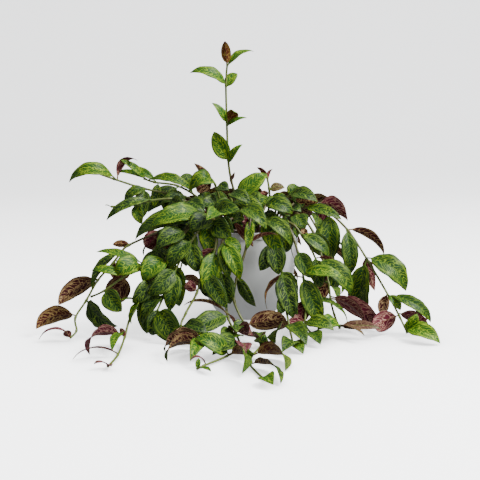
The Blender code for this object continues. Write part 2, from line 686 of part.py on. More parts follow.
def slab_tree(blade, thickness, first_row=0):
    """A tree of both faces of a thick slab round the blade, for testing what it would touch."""
    verts, faces = [], []
    for lift in (-thickness / 2, 0.0, thickness / 2):
        shape = bmesh.new()
        grid_faces(blade_grid(blade, lift, first_row), shape)
        shape.verts.index_update()
        start = len(verts)
        verts += [vertex.co.copy() for vertex in shape.verts]
        faces += [[start + vertex.index for vertex in face.verts] for face in shape.faces]
        shape.free()
    return BVHTree.FromPolygons(verts, faces), min(vertex.z for vertex in verts)


def mesh_polygons(mesh):
    return [vertex.co.copy() for vertex in mesh.vertices], [list(p.vertices) for p in mesh.polygons]


def joined_tree(parts):
    """One tree of several (vertices, faces) lists."""
    verts, faces = [], []
    for part_verts, part_faces in parts:
        start = len(verts)
        verts += part_verts
        faces += [[start + index for index in face] for face in part_faces]
    return BVHTree.FromPolygons(verts, faces)


def adjustments():
    """Small turns, tilts and shortenings of a leaf, the least first."""
    steps = itertools.product(LEAF_TURNS, LEAF_TILTS, LEAF_SIZES)
    return sorted(steps, key=lambda step: abs(step[0]) + abs(step[1]) + SIZE_COST * (1 - step[2]))


def place_leaf(base, leaf, vigour, others, own):
    """The leaf as designed, or with the least change that keeps it clear of everything."""
    for turn, tilt, size in adjustments():
        blade = Blade(base, leaf, turn, tilt, size * vigour * LEAF_GROWTH)
        tree, low = slab_tree(blade, BLADE_THICKNESS + 2 * CLEARANCE)
        if low < FLOOR_CLEARANCE or tree.overlap(others):
            continue
        past_root, _ = slab_tree(blade, BLADE_THICKNESS, 1)
        if any(past_root.overlap(near) for near in own):
            continue
        return blade
    return None


def rear_nodes(index, hole, bearing, reach, end_height):
    """Nodes of a stem that arches over the rim and hangs, with leaf pairs set crosswise."""
    draw = random.Random(REAR_SEED + index)
    out = Vector((math.cos(math.radians(bearing)), math.sin(math.radians(bearing)), 0))
    across = Vector((-out.y, out.x, 0))
    start = Vector((hole[0], hole[1], 0))
    first = start.dot(out)
    aside = start - out * first
    nodes = []
    for step in range(1, REAR_NODES + 1):
        share = step / REAR_NODES
        far = first + (reach - first) * (REAR_FIRST_REACH + (1 - REAR_FIRST_REACH) * share)
        drop = max(share - REAR_DROP_FROM, 0) / (1 - REAR_DROP_FROM)
        height = REAR_CREST + REAR_ARCH * math.sin(math.pi * share)
        height -= (REAR_CREST - end_height) * drop ** REAR_DROP_POWER
        sway = draw.uniform(-REAR_WANDER, REAR_WANDER)
        centre = aside * (1 - share) + out * far + across * sway
        leaves = []
        for sign in (-1, 1):
            length = draw.uniform(*REAR_LEAF_LENGTH) * (1 - REAR_LEAF_SHRINK * share)
            swing = sign * REAR_SWINGS[step % 2] + draw.uniform(-1, 1) * REAR_SWING_SPREAD
            heading = out.copy()
            heading.rotate(Matrix.Rotation(math.radians(swing), 3, "Z"))
            fall = REAR_LEAF_FALL[0] * (1 - share) + REAR_LEAF_FALL[1] * share
            fall += draw.uniform(-1, 1) * REAR_FALL_SPREAD
            to = (heading + Vector((0, 0, fall))).normalized() * length
            face = "u" + ("b" if out.y > REAR_FACES_BACK else "r" if out.x > 0 else "l")
            leaves.append((to.x, to.y, to.z, length * draw.uniform(*REAR_LEAF_WIDTH),
                           length * draw.uniform(*REAR_LEAF_BOW), face))
        nodes.append(node(centre.x, centre.y, height, *leaves))
    return nodes


def all_stems():
    """Every stem: those set by hand, then the rear ones."""
    rear = [Stem(name, hole, 1.0, rear_nodes(index, hole, bearing, reach, end_height))
            for index, (name, (hole, bearing, reach, end_height)) in enumerate(REAR_STEMS.items())]
    return STEMS + rear


def solid_blade(name, blade, collection):
    """The blade thickened to a closed solid."""
    thing = mesh_object(name, blade_surface(blade), collection)
    solidify = thing.modifiers.new("thickness", "SOLIDIFY")
    solidify.thickness = BLADE_THICKNESS
    solidify.offset = 0.0
    return apply_modifiers(thing)


def join_leaves(stem, leaves):
    """Fuse the stem's leaves into it and drop the loose ones."""
    boolean = stem.modifiers.new("leaves", "BOOLEAN")
    boolean.operation = "UNION"
    boolean.operand_type = "COLLECTION"
    boolean.collection = leaves
    boolean.solver = "EXACT"
    apply_modifiers(stem)
    for leaf in list(leaves.objects):
        bpy.data.objects.remove(leaf, do_unlink=True)
    bpy.data.collections.remove(leaves)


def build_stems(collection, pot, soil):
    """Lay every stem first, then give each its leaves, clear of all that is there."""
    material = make_material("mottled_leaf", (0.09, 0.16, 0.04), 0.4)
    stems = all_stems()
    routes = {stem.name: stem_route(stem) for stem in stems}
    tubes = {name: stem_tube(name, route, collection) for name, route in routes.items()}
    placed = {name: [mesh_polygons(mesh)] for name, mesh in tubes.items()}
    fixed = [mesh_polygons(pot.data), mesh_polygons(soil.data)]
    for stem in stems:
        rest = [part for name, parts in placed.items() if name != stem.name for part in parts]
        others = joined_tree(fixed + rest)
        own = [joined_tree(placed[stem.name])]
        leaves = new_collection(stem.name + "_leaves")
        for joint in stem.nodes:
            for order, leaf in enumerate(joint.leaves):
                base = leaf_base(routes[stem.name], joint, order)
                blade = place_leaf(base, leaf, stem.vigour, others, own)
                if blade is None:
                    continue
                solid = solid_blade(f"{stem.name}_leaf_{len(own)}", blade, leaves)
                placed[stem.name].append(mesh_polygons(solid.data))
                own.append(slab_tree(blade, BLADE_THICKNESS, 1)[0])
        body = mesh_object(stem.name, tubes[stem.name], collection, material)
        join_leaves(body, leaves)
        smooth_shading(body, LEAF_SHARP_ANGLE)


def main():
    clear_scene()
    parts = new_collection("potted_plant")
    drain_cutters = new_collection("drain_cutters")
    root_cutters = new_collection("root_cutters")
    holes = [stem.hole for stem in all_stems()]
    pot = build_pot(parts, drain_cutters)
    soil = build_soil(parts, root_cutters, holes)
    build_stems(parts, pot, soil)


main()
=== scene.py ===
"""A trailing lipstick plant with mottled leaves in a plain white pot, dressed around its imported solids.

Every stem keeps the route and the leaves of its CAD node: the tables below repeat them in
millimetres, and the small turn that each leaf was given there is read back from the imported
node. The fine leaves, petioles, buds, pot wall and crumbly soil are made here.
"""

import itertools
import json
import logging
import math
import random
from dataclasses import dataclass, field
from enum import Enum

import bmesh
import bpy
import numpy as np
from mathutils import Matrix, Vector
from mathutils.kdtree import KDTree

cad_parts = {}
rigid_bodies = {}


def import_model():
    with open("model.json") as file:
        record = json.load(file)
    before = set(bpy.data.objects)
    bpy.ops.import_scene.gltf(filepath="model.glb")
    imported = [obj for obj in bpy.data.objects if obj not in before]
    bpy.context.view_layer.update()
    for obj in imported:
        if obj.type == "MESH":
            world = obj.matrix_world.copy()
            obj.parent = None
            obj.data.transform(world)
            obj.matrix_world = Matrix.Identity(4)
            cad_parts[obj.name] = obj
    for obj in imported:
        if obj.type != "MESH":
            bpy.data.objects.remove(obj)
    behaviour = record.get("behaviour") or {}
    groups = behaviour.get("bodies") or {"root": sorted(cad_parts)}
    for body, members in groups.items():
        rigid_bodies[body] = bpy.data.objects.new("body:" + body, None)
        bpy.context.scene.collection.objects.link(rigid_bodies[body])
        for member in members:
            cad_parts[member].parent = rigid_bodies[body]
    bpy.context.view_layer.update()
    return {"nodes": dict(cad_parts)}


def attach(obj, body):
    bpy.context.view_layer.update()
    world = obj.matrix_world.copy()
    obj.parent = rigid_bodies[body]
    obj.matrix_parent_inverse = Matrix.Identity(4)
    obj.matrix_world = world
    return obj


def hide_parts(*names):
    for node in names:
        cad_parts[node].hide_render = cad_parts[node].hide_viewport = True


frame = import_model()

logging.basicConfig(level=logging.INFO, format="%(message)s")
log = logging.getLogger("potted_plant")

MM = 0.001


class Tone(Enum):
    """How far a leaf has grown and coloured: (freshness, maroon, pinkness), each from 0 to 1."""

    MATURE = (0.12, 0.75, 0.15)
    DARK = (0.0, 0.9, 0.1)
    # Painted sheen: a paler, fresher green for leaves whose waxy side gleams grey-green
    PAINTED_SHEEN = (0.22, 0.7, 0.1)
    FRESH = (0.8, 0.45, 0.1)
    LIME = (1.0, 0.25, 0.0)
    PURPLE = (0.15, 1.0, 0.8)
    YOUNG_RED = (0.2, 1.0, 0.9)
    CREAM = (1.0, 0.2, 0.72)
    RUST = (0.8, 0.8, 0.3)
    MELLOW = (0.4, 0.6, 0.1)
    EMBER = (0.9, 0.7, 0.6)
    ROSE = (0.3, 0.8, 1.0)


@dataclass(frozen=True)
class Leaf:
    """Where a leaf's tip lies from its node, its width and arch (mm), where it looks, its tone."""

    dx: float
    dy: float
    dz: float
    width: float
    bow: float
    face: str
    tone: Tone | None = None


@dataclass(frozen=True)
class Joint:
    """A node of a stem in mm, with the leaves that grow there."""

    at: tuple[float, float, float]
    leaves: tuple[Leaf, ...] = ()


def joint(x: float, y: float, z: float, *leaves: tuple) -> Joint:
    """A joint from plain numbers, with one tuple for each leaf."""
    return Joint((x, y, z), tuple(Leaf(*leaf) for leaf in leaves))


@dataclass(frozen=True)
class StemPlan:
    """A leafy stem: its CAD node, its hole in the soil in mm, how large its leaves grow, its joints."""

    name: str
    hole: tuple[float, float]
    vigour: float
    joints: list[Joint]


# The stems that hang or stand in front and at the sides, each from the soil to its tip
PLANS = [
    StemPlan("stem_upright", (-12, 4), 1.0, [
        joint(-14, 0, 165, (42, 12, 38, 30, 6, "uf", Tone.FRESH)),
        joint(-21, 0, 193),
        joint(-25, 0, 222, (-14, 10, 42, 24, 4, "f", Tone.LIME), (18, -8, 27, 12, 6, "uf", Tone.LIME)),
        joint(-27, 0, 276, (-19, -8, 28, 13, 5, "uf", Tone.LIME), (5, -12, 27, 17, 6, "b", Tone.LIME),
              (20, -2, 22, 8, 6, "uf", Tone.LIME)),
        joint(-28, 0, 327, (-48, -12, 20, 20, 14, "uf", Tone.FRESH),
              (14, 16, 20, 16, 5, "uf", Tone.LIME)),
        joint(-26, 0, 356, (-3, -9, 32, 14, 3, "b", Tone.LIME),
              (29, 8, 29, 16, 8, "ulf", Tone.LIME)),
    ]),
    StemPlan("stem_left_high", (-46, 24), 1.0, [
        joint(-59, 30, 152, (-10, -20, 20, 24, 8, "uf")),
        joint(-88, 30, 165, (-32, -16, -4, 24, 6, "uf"), (-28, 14, -14, 22, 5, "uf")),
        joint(-116, 28, 171, (14, -16, -24, 22, 6, "f")),
        joint(-147, 25, 178, (-7, -16, -42, 24, 8, "f", Tone.DARK),
              (-31, -8, -18, 18, 12, "uf", Tone.PAINTED_SHEEN)),
        joint(-188, 20, 192, (-64, -12, -2, 23, 26, "uf", Tone.FRESH),
              (28, -2, 28, 14, 20, "bl", Tone.PURPLE)),
        joint(-230, 15, 208),
    ]),
    StemPlan("stem_left_shoot", (-38, 40), 1.05, [
        joint(-67, 52, 158),
        joint(-99, 50, 178, (-40, -22, -30, 28, 6, "uf"), (20, 16, 12, 24, 6, "uf")),
        joint(-132, 45, 184, (-36, 12, 18, 12, 8, "uf", Tone.LIME), (-3, -10, -35, 14, 4, "f")),
        joint(-148, 42, 190, (-33, -5, 27, 12, 5, "uf", Tone.LIME),
              (-40, 5, 9, 9, 8, "uf", Tone.LIME), (60, -6, -17, 16, 20, "uf", Tone.FRESH)),
    ]),
    StemPlan("stem_left_arm", (-54, 8), 1.1, [
        joint(-62, 0, 146, (-16, -34, -8, 26, 8, "uf")),
        joint(-86, -5, 164, (22, -25, -12, 24, 6, "uf"), (-25, -15, -12, 22, 6, "uf")),
        joint(-108, -10, 168, (18, -18, -14, 24, 6, "f")),
        joint(-134, -15, 166, (-55, -14, -22, 14, 14, "uf", Tone.PAINTED_SHEEN)),
        joint(-157, -20, 161, (8, -14, -22, 16, 3, "f")),
        joint(-188, -25, 159),
    ]),
    StemPlan("stem_left_big", (-38, -30), 1.12, [
        joint(-44, -42, 148, (30, -26, -8, 28, 8, "uf", Tone.PAINTED_SHEEN)),
        joint(-63, -54, 147, (-80, -12, -22, 28, 20, "uf", Tone.PAINTED_SHEEN),
              (-60, -30, -14, 28, 17, "uf", Tone.FRESH)),
        joint(-82, -66, 136, (-2, -20, -42, 28, 12, "f", Tone.PAINTED_SHEEN),
              (-26, 10, -18, 22, 6, "uf", Tone.DARK)),
        joint(-92, -82, 114, (-38, -6, -18, 24, 6, "b", Tone.DARK),
              (12, -16, -28, 20, 5, "f", Tone.DARK)),
        joint(-96, -92, 88, (-34, -8, -26, 24, 8, "b", Tone.DARK), (4, -14, -50, 23, 8, "f")),
    ]),
    StemPlan("stem_left_mid", (-54, -8), 1.05, [
        joint(-80, -28, 147, (-34, -14, -10, 30, 8, "uf")),
        joint(-119, -48, 129, (-20, -22, -14, 26, 5, "b", Tone.PURPLE), (24, -26, -16, 28, 6, "uf")),
        joint(-160, -70, 113, (-22, -8, 2, 10, 3, "b")),
        joint(-171, -78, 103, (-20, -16, -54, 18, 12, "fl", Tone.PAINTED_SHEEN)),
        joint(-180, -86, 92, (6, -12, -22, 20, 4, "b"), (18, -10, -20, 18, 5, "b")),
        joint(-200, -100, 70, (-50, -12, -30, 26, 12, "bbu", Tone.DARK)),
        joint(-214, -114, 46, (38, -24, -30, 32, 9, "fl", Tone.DARK)),
        joint(-227, -128, 26, (-50, -8, -14, 26, 14, "bbu")),
        joint(-224, -142, 12),
        joint(-231, -152, 5, (-38, -9, -1, 12, 11, "u", Tone.YOUNG_RED)),
    ]),
    StemPlan("stem_left_low", (-48, -20), 1.12, [
        joint(-68, -38, 150, (-24, -20, -14, 28, 8, "uf")),
        joint(-100, -58, 136, (-20, 10, -24, 20, 6, "f", Tone.DARK)),
        joint(-123, -80, 111, (-6, -22, -50, 30, 8, "f", Tone.DARK), (20, -16, -36, 26, 6, "f")),
        joint(-143, -100, 90, (-28, -18, -8, 30, 8, "uf", Tone.FRESH),
              (-50, 2, 20, 12, 8, "uf", Tone.FRESH)),
        joint(-165, -112, 77, (-36, -5, 12, 12, 8, "uf", Tone.LIME), (-18, -12, -32, 30, 6, "b", Tone.DARK)),
        joint(-190, -118, 60, (20, -16, -22, 24, 5, "f")),
        joint(-208, -108, 50),
    ]),
    StemPlan("stem_left_inner", (-28, -42), 1.15, [
        joint(-48, -74, 150, (-24, -18, -10, 28, 8, "uf"), (18, -16, -22, 26, 6, "f")),
        joint(-76, -98, 120, (8, -12, -32, 22, 6, "f", Tone.DARK), (-26, -16, -30, 24, 10, "uf")),
        joint(-96, -114, 84, (-6, -16, -42, 22, 8, "f"), (-24, -16, -34, 24, 8, "f", Tone.DARK)),
        joint(-110, -126, 54, (-24, -14, -30, 22, 8, "fl", Tone.DARK)),
        joint(-118, -138, 37, (26, -24, -36, 32, 8, "f"), (-14, -16, -30, 24, 5, "f", Tone.DARK)),
    ]),
    StemPlan("stem_left_front", (-41, -39), 1.1, [
        joint(-56, -62, 150, (8, -20, -46, 24, 10, "f", Tone.FRESH)),
        joint(-84, -84, 132, (-22, -16, -34, 28, 8, "uf")),
        joint(-110, -102, 98, (-28, -18, -22, 28, 8, "uf", Tone.FRESH)),
        joint(-128, -118, 70, (-2, -16, -42, 24, 8, "f", Tone.DARK),
              (-22, -16, -25, 22, 8, "f", Tone.DARK)),
        joint(-142, -128, 46, (-42, -8, -16, 14, 12, "u", Tone.FRESH),
              (-10, -14, -28, 14, 4, "fl", Tone.FRESH), (6, -14, -40, 18, 4, "f")),
        joint(-154, -144, 26),
        joint(-158, -168, 10, (-34, -54, -6, 22, 18, "bbu", Tone.YOUNG_RED),
              (-10, -52, -4, 14, 8, "ub", Tone.LIME)),
        joint(-161, -228, 3.5, (-46, -22, 1, 10, 10, "ul", Tone.YOUNG_RED)),
        joint(-168, -275, 3, (-14, -12, 6, 8, 3, "u", Tone.YOUNG_RED)),
    ]),
    StemPlan("stem_front_left", (-16, -46), 1.12, [
        joint(-36, -74, 152, (-14, -34, -18, 22, 10, "uf", Tone.FRESH),
              (16, -18, -14, 22, 6, "f", Tone.DARK)),
        joint(-43, -96, 108, (-13, -18, -46, 26, 10, "f", Tone.FRESH),
              (-24, -6, -20, 14, 5, "ub", Tone.PURPLE)),
        joint(-58, -112, 84, (19, -8, -46, 22, 6, "f", Tone.DARK), (-8, -10, -34, 20, 5, "f", Tone.DARK)),
        joint(-66, -122, 58, (-14, -6, 10, 14, 4, "b", Tone.PURPLE)),
        joint(-80, -136, 34),
        joint(-84, -152, 18, (22, -32, 0, 22, 6, "uf", Tone.DARK)),
        joint(-50, -205, 10, (-46, -22, -6, 28, 14, "bbu", Tone.DARK),
              (-38, -50, -5, 24, 15, "bbu", Tone.DARK), (-12, -60, -2, 18, 10, "uf", Tone.FRESH)),
    ]),
    StemPlan("stem_centre", (-4, -52), 1.08, [
        joint(-20, -75, 150, (22, -26, -28, 10, 4, "b", Tone.EMBER), (14, -10, 4, 24, 5, "uf")),
        joint(-33, -95, 118, (21, -20, -41, 22, 14, "uf", Tone.FRESH),
              (4, -14, -46, 19, 8, "f", Tone.MELLOW),
              (30, -14, -14, 20, 8, "uf", Tone.FRESH)),
        joint(-34, -103, 78, (-14, -12, -48, 22, 7, "f", Tone.DARK),
              (12, -10, -38, 26, 6, "f", Tone.DARK)),
        joint(-28, -112, 46),
        joint(-24, -126, 24, (-48, -32, -10, 28, 12, "uf"), (-52, 2, 12, 9, 12, "ub"),
              (9, -14, -26, 8, 5, "ub", Tone.CREAM)),
        joint(-12, -154, 7, (-16, -40, 4, 28, 6, "uf"), (6, -42, 4, 20, 6, "uf"),
              (34, -22, 8, 22, 8, "b", Tone.PURPLE)),
        joint(-9, -195, 4, (-30, -44, 4, 30, 12, "uf", Tone.PAINTED_SHEEN),
              (-12, -46, 3, 20, 8, "bbu", Tone.PURPLE)),
        joint(-25, -233, 3.5, (16, -74, 2, 20, 16, "ur"), (-43, -6, 6, 25, 10, "uf", Tone.FRESH)),
        joint(-52, -272, 3, (-16, -6, 8, 9, 6, "u", Tone.YOUNG_RED)),
        joint(-60, -285, 3, (14, -20, 3, 8, 2, "u", Tone.FRESH)),
    ]),
    StemPlan("stem_centre_right", (8, -50), 1.0, [
        joint(6, -77, 152, (-4, -22, -38, 14, 5, "f", Tone.LIME), (-12, -12, -4, 24, 6, "b", Tone.ROSE)),
        joint(0, -97, 116, (40, -10, 16, 9, 7, "ub", Tone.EMBER)),
        joint(-13, -108, 74, (20, -14, -38, 14, 5, "fl", Tone.DARK),
              (12, -20, -40, 12, 4, "f", Tone.DARK)),
        joint(-16, -120, 46),
        joint(0, -140, 17, (52, -14, 10, 27, 8, "b", Tone.DARK), (-20, -14, -6, 20, 4, "uf")),
        joint(18, -180, 5, (8, -16, 12, 20, 5, "f", Tone.PAINTED_SHEEN), (-16, -40, 3, 18, 6, "uf", Tone.DARK)),
        joint(6, -234, 3.5, (38, -56, -1, 30, 18, "bbu", Tone.RUST)),
        joint(4, -270, 3, (34, -76, 2, 20, 12, "bbu", Tone.DARK)),
        joint(20, -330, 3, (9, -34, 5, 20, 6, "uf", Tone.LIME)),
    ]),
    StemPlan("stem_front_right", (22, -48), 1.05, [
        joint(23, -74, 150, (18, -24, -46, 23, 10, "f", Tone.FRESH),
              (32, -20, -32, 22, 18, "uf", Tone.PAINTED_SHEEN)),
        joint(39, -95, 118, (-18, -10, -32, 22, 4, "f", Tone.DARK),
              (4, -10, -40, 26, 6, "f", Tone.DARK)),
        joint(48, -106, 80, (4, -8, -58, 28, 6, "f", Tone.DARK), (16, -12, -30, 24, 5, "f", Tone.DARK)),
        joint(51, -120, 48, (18, -14, -26, 22, 5, "f"), (-6, -14, -22, 16, 4, "f")),
        joint(57, -144, 15, (-20, -46, -6, 28, 8, "bbu", Tone.DARK), (18, -60, -6, 24, 8, "uf")),
        joint(60, -186, 5, (-14, -44, 4, 22, 8, "uf", Tone.PAINTED_SHEEN),
              (14, -42, 0, 24, 8, "uf", Tone.FRESH)),
    ]),
    StemPlan("stem_right_mid", (42, -34), 1.0, [
        joint(47, -46, 143, (10, -28, -26, 26, 8, "f")),
        joint(65, -60, 139, (2, -6, -44, 6, 3, "l"), (10, 14, -20, 20, 5, "uf")),
        joint(77, -68, 124, (8, 4, 8, 12, 2, "b"), (38, -10, -28, 20, 8, "uf")),
        joint(88, -75, 109),
        joint(96, -82, 92, (46, -10, -44, 30, 18, "uf"), (34, -4, -6, 8, 9, "ub", Tone.EMBER),
              (18, -16, -34, 22, 8, "f", Tone.DARK)),
        joint(104, -88, 77),
    ]),
    StemPlan("stem_right_inner", (50, -22), 1.1, [
        joint(70, -30, 150, (8, -22, -20, 24, 5, "uf")),
        joint(92, -50, 128, (20, 10, -34, 24, 5, "f")),
        joint(104, -64, 94, (22, 8, -40, 26, 5, "f")),
        joint(112, -82, 62, (-14, -6, -24, 18, 4, "b", Tone.DARK)),
        joint(114, -96, 42, (60, -10, -36, 25, 13, "bbu", Tone.PURPLE),
              (42, -22, -30, 22, 10, "ub", Tone.PURPLE)),
        joint(118, -112, 26),
        joint(124, -130, 12, (46, -14, 2, 14, 5, "uf", Tone.CREAM),
              (30, -30, -8, 10, 4, "u", Tone.CREAM),
              (-26, -24, 0, 22, 8, "uf", Tone.FRESH)),
    ]),
    StemPlan("stem_right_front", (34, -44), 1.1, [
        joint(54, -64, 142, (10, -16, -30, 22, 8, "uf")),
        joint(70, -88, 106, (16, -12, -30, 22, 5, "f")),
        joint(77, -102, 72, (-44, -8, -36, 16, 20, "ulb", Tone.RUST),
              (16, -14, -58, 26, 8, "f", Tone.PAINTED_SHEEN),
              (48, -14, -2, 18, 10, "uf", Tone.FRESH)),
        joint(80, -116, 44, (36, -30, -36, 22, 12, "ur"), (-8, -16, -26, 20, 4, "b", Tone.PURPLE)),
        joint(78, -132, 19, (30, -24, -12, 22, 6, "uf"), (-22, -10, -6, 16, 5, "b", Tone.PURPLE)),
        joint(86, -148, 9, (8, -36, 6, 18, 5, "uf")),
    ]),
    StemPlan("stem_right_long", (54, -6), 1.0, [
        joint(66, -7, 146, (12, -26, 4, 24, 8, "uf")),
        joint(84, -11, 156, (48, -28, -10, 18, 8, "uf"), (-8, 20, 14, 20, 6, "uf")),
        joint(105, -20, 161, (-33, 6, 8, 22, 6, "b", Tone.MELLOW),
              (42, 10, -22, 26, 20, "bbu", Tone.PURPLE)),
        joint(117, -28, 151, (10, -22, -66, 32, 14, "f", Tone.PAINTED_SHEEN),
              (-10, -12, -10, 16, 3, "b", Tone.PURPLE)),
        joint(142, -40, 127, (50, -8, -34, 15, 25, "bbu", Tone.DARK),
              (6, -6, -62, 24, 14, "uf", Tone.PAINTED_SHEEN)),
        joint(167, -65, 90, (2, -24, -80, 38, 14, "fl", Tone.MELLOW),
              (52, -12, -42, 34, 22, "uf", Tone.MELLOW),
              (14, 8, -48, 16, 6, "b", Tone.PURPLE)),
        joint(193, -104, 47, (54, -12, -32, 18, 18, "uf"), (12, -14, -18, 14, 6, "uf", Tone.FRESH),
              (-8, -16, -26, 16, 5, "b", Tone.DARK)),
        joint(204, -124, 26, (-34, -16, -14, 27, 8, "b", Tone.PURPLE),
              (42, -10, -14, 20, 8, "bbu", Tone.PURPLE)),
        joint(212, -142, 9, (12, -6, 24, 18, 3, "f", Tone.LIME), (40, -32, -2, 26, 10, "uf", Tone.FRESH),
              (28, -2, 12, 16, 5, "b", Tone.PURPLE)),
    ]),
    StemPlan("stem_right_top", (40, 14), 1.0, [
        joint(46, 12, 144, (20, 18, -2, 22, 6, "uf")),
        joint(54, 8, 162, (28, 0, 12, 7, 6, "u", Tone.PAINTED_SHEEN), (-8, -10, 6, 18, 4, "uf", Tone.YOUNG_RED)),
        joint(64, 4, 172, (34, -16, -20, 24, 10, "uf", Tone.DARK), (14, 14, 14, 18, 6, "uf")),
    ]),
    StemPlan("stem_back_shoot", (28, 24), 1.0, [
        joint(32, 22, 145),
        joint(34, 20, 160, (26, -6, 8, 18, 6, "uf", Tone.LIME), (-20, 14, 4, 18, 5, "uf", Tone.RUST)),
        joint(33, 20, 178, (22, 2, 5, 16, 4, "uf", Tone.EMBER), (-14, -6, -4, 10, 3, "b", Tone.EMBER)),
        joint(30, 20, 195, (-14, 0, 16, 9, 3, "ub", Tone.EMBER), (6, 4, 16, 8, 3, "bl", Tone.YOUNG_RED)),
    ]),
    StemPlan("stem_mound_left", (-26, 22), 1.12, [
        joint(-34, 22, 150, (-30, -24, -6, 26, 8, "uf"), (-14, 22, 20, 24, 6, "uf")),
        joint(-44, 20, 184, (-34, -12, -6, 25, 22, "uf", Tone.FRESH),
              (16, -14, 0, 20, 4, "uf", Tone.PAINTED_SHEEN)),
        joint(-50, 22, 192, (-22, 10, 20, 9, 4, "b", Tone.DARK), (-22, -10, -8, 22, 5, "b", Tone.DARK)),
    ]),
    StemPlan("stem_mound_front", (-8, -22), 1.15, [
        joint(-13, -28, 148, (8, -30, -22, 24, 8, "f"), (-20, -20, -12, 24, 8, "f", Tone.FRESH)),
        joint(-20, -30, 168, (38, -18, -16, 22, 14, "uf", Tone.PAINTED_SHEEN), (-36, -14, -6, 24, 12, "uf")),
        joint(-24, -32, 178, (24, -22, -12, 18, 10, "uf", Tone.PAINTED_SHEEN)),
    ]),
    StemPlan("stem_mound_rim", (2, -36), 1.1, [
        joint(1, -46, 146, (-28, -24, -2, 20, 8, "uf"), (4, -42, -24, 24, 16, "uf", Tone.PAINTED_SHEEN)),
        joint(-4, -54, 161, (-24, -26, -10, 26, 8, "uf"), (24, -30, -16, 22, 12, "uf", Tone.DARK)),
        joint(-8, -66, 157, (-24, -24, -38, 24, 14, "uf", Tone.DARK), (20, -24, -38, 24, 14, "uf")),
    ]),
    StemPlan("stem_mound_back", (-2, 34), 1.15, [
        joint(-6, 42, 148, (-34, 22, -6, 26, 8, "ub"), (30, 22, -12, 26, 8, "ub")),
        joint(-4, 50, 162, (-22, 28, -8, 24, 8, "ub"), (28, 12, 2, 24, 8, "ub")),
    ]),
    StemPlan("stem_mound_right", (17, -10), 1.15, [
        joint(20, -16, 148, (22, -28, -12, 26, 8, "uf"), (-20, -26, -6, 26, 8, "uf", Tone.PAINTED_SHEEN)),
        joint(26, -18, 164, (34, -10, -10, 24, 10, "uf"), (-22, 12, 6, 24, 6, "uf")),
        joint(30, -18, 173, (-6, -26, -6, 20, 6, "uf")),
    ]),
]

# Buds too small for the solids: stem, joint in mm, leaf
BUDS = [
    ("stem_left_arm", (-188, -25, 159), Leaf(-8, -3, 3, 4, 1, "u", Tone.LIME)),
    ("stem_left_front", (-158, -168, 10), Leaf(-5, -4, 14, 8, 2, "b", Tone.YOUNG_RED)),
    ("stem_left_front", (-168, -275, 3), Leaf(6, -16, 5, 8, 2, "u", Tone.YOUNG_RED)),
    ("stem_centre", (-60, -285, 3), Leaf(2, 5, 12, 7, 1, "f", Tone.LIME)),
    ("stem_right_mid", (104, -88, 77), Leaf(4, -3, -10, 8, 1, "f", Tone.PURPLE)),
    ("stem_right_mid", (104, -88, 77), Leaf(10, 2, 4, 7, 2, "u", Tone.YOUNG_RED)),
    ("stem_centre_right", (6, -234, 3.5), Leaf(-5, -10, 12, 10, 2, "f", Tone.FRESH)),
    ("stem_left_mid", (-231, -152, 5), Leaf(-6, -10, 12, 12, 2, "b", Tone.CREAM)),
    ("stem_upright", (-21, 0, 193), Leaf(5, -5, 12, 5, 1, "f", Tone.YOUNG_RED)),
]


@dataclass(frozen=True)
class RearHabit:
    """How the stems at the back and far sides arch over the rim, in mm and degrees."""

    seed: int = 11
    nodes: int = 4
    crest: float = 152
    arch: float = 8
    wander: float = 7
    first_reach: float = 0.22
    drop_from: float = 0.2
    drop_power: float = 1.7
    leaf_length: tuple[float, float] = (50, 72)
    leaf_shrink: float = 0.3
    swings: tuple[float, float] = (105, 55)
    swing_spread: float = 14
    leaf_fall: tuple[float, float] = (-0.15, -0.9)
    fall_spread: float = 0.2
    leaf_width: tuple[float, float] = (0.38, 0.46)
    leaf_bow: tuple[float, float] = (0.1, 0.2)
    faces_back: float = 0.5

    def joints(self, index: int, hole: tuple[float, float], bearing: float, reach: float,
               end_height: float) -> list[Joint]:
        """The joints of one rear stem.

        Args:
            index: which rear stem it is, for its own draws.
            hole: its hole in the soil, in mm.
            bearing: the way it arches, in degrees.
            reach: how far from the pot's axis it ends, in mm.
            end_height: how high its tip is, in mm.

        Returns:
            The joints with their leaves.
        """
        draw = random.Random(self.seed + index)
        out = Vector((math.cos(math.radians(bearing)), math.sin(math.radians(bearing)), 0))
        across = Vector((-out.y, out.x, 0))
        start = Vector((hole[0], hole[1], 0))
        first = start.dot(out)
        aside = start - out * first
        made = []
        for step in range(1, self.nodes + 1):
            share = step / self.nodes
            far = first + (reach - first) * (self.first_reach + (1 - self.first_reach) * share)
            drop = max(share - self.drop_from, 0) / (1 - self.drop_from)
            height = self.crest + self.arch * math.sin(math.pi * share)
            height -= (self.crest - end_height) * drop ** self.drop_power
            sway = draw.uniform(-self.wander, self.wander)
            centre = aside * (1 - share) + out * far + across * sway
            leaves = []
            for sign in (-1, 1):
                length = draw.uniform(*self.leaf_length) * (1 - self.leaf_shrink * share)
                swing = sign * self.swings[step % 2] + draw.uniform(-1, 1) * self.swing_spread
                heading = out.copy()
                heading.rotate(Matrix.Rotation(math.radians(swing), 3, "Z"))
                fall = self.leaf_fall[0] * (1 - share) + self.leaf_fall[1] * share
                fall += draw.uniform(-1, 1) * self.fall_spread
                to = (heading + Vector((0, 0, fall))).normalized() * length
                face = "u" + ("b" if out.y > self.faces_back else "r" if out.x > 0 else "l")
                leaves.append((to.x, to.y, to.z, length * draw.uniform(*self.leaf_width),
                               length * draw.uniform(*self.leaf_bow), face))
            made.append(joint(centre.x, centre.y, height, *leaves))
        return made


# Rear stems: hole in mm, bearing in degrees, reach and end height in mm
REAR_STEMS = {
    "stem_back_left": ((-32, 44), 128, 165, 22),
    "stem_back_middle": ((-6, 52), 98, 185, 10),
    "stem_back_right": ((18, 48), 68, 150, 40),
    "stem_back_far_right": ((38, 36), 40, 170, 18),
    "stem_far_right": ((50, 22), 16, 140, 56),
    "stem_far_left": ((-53, 20), 163, 142, 50),
}

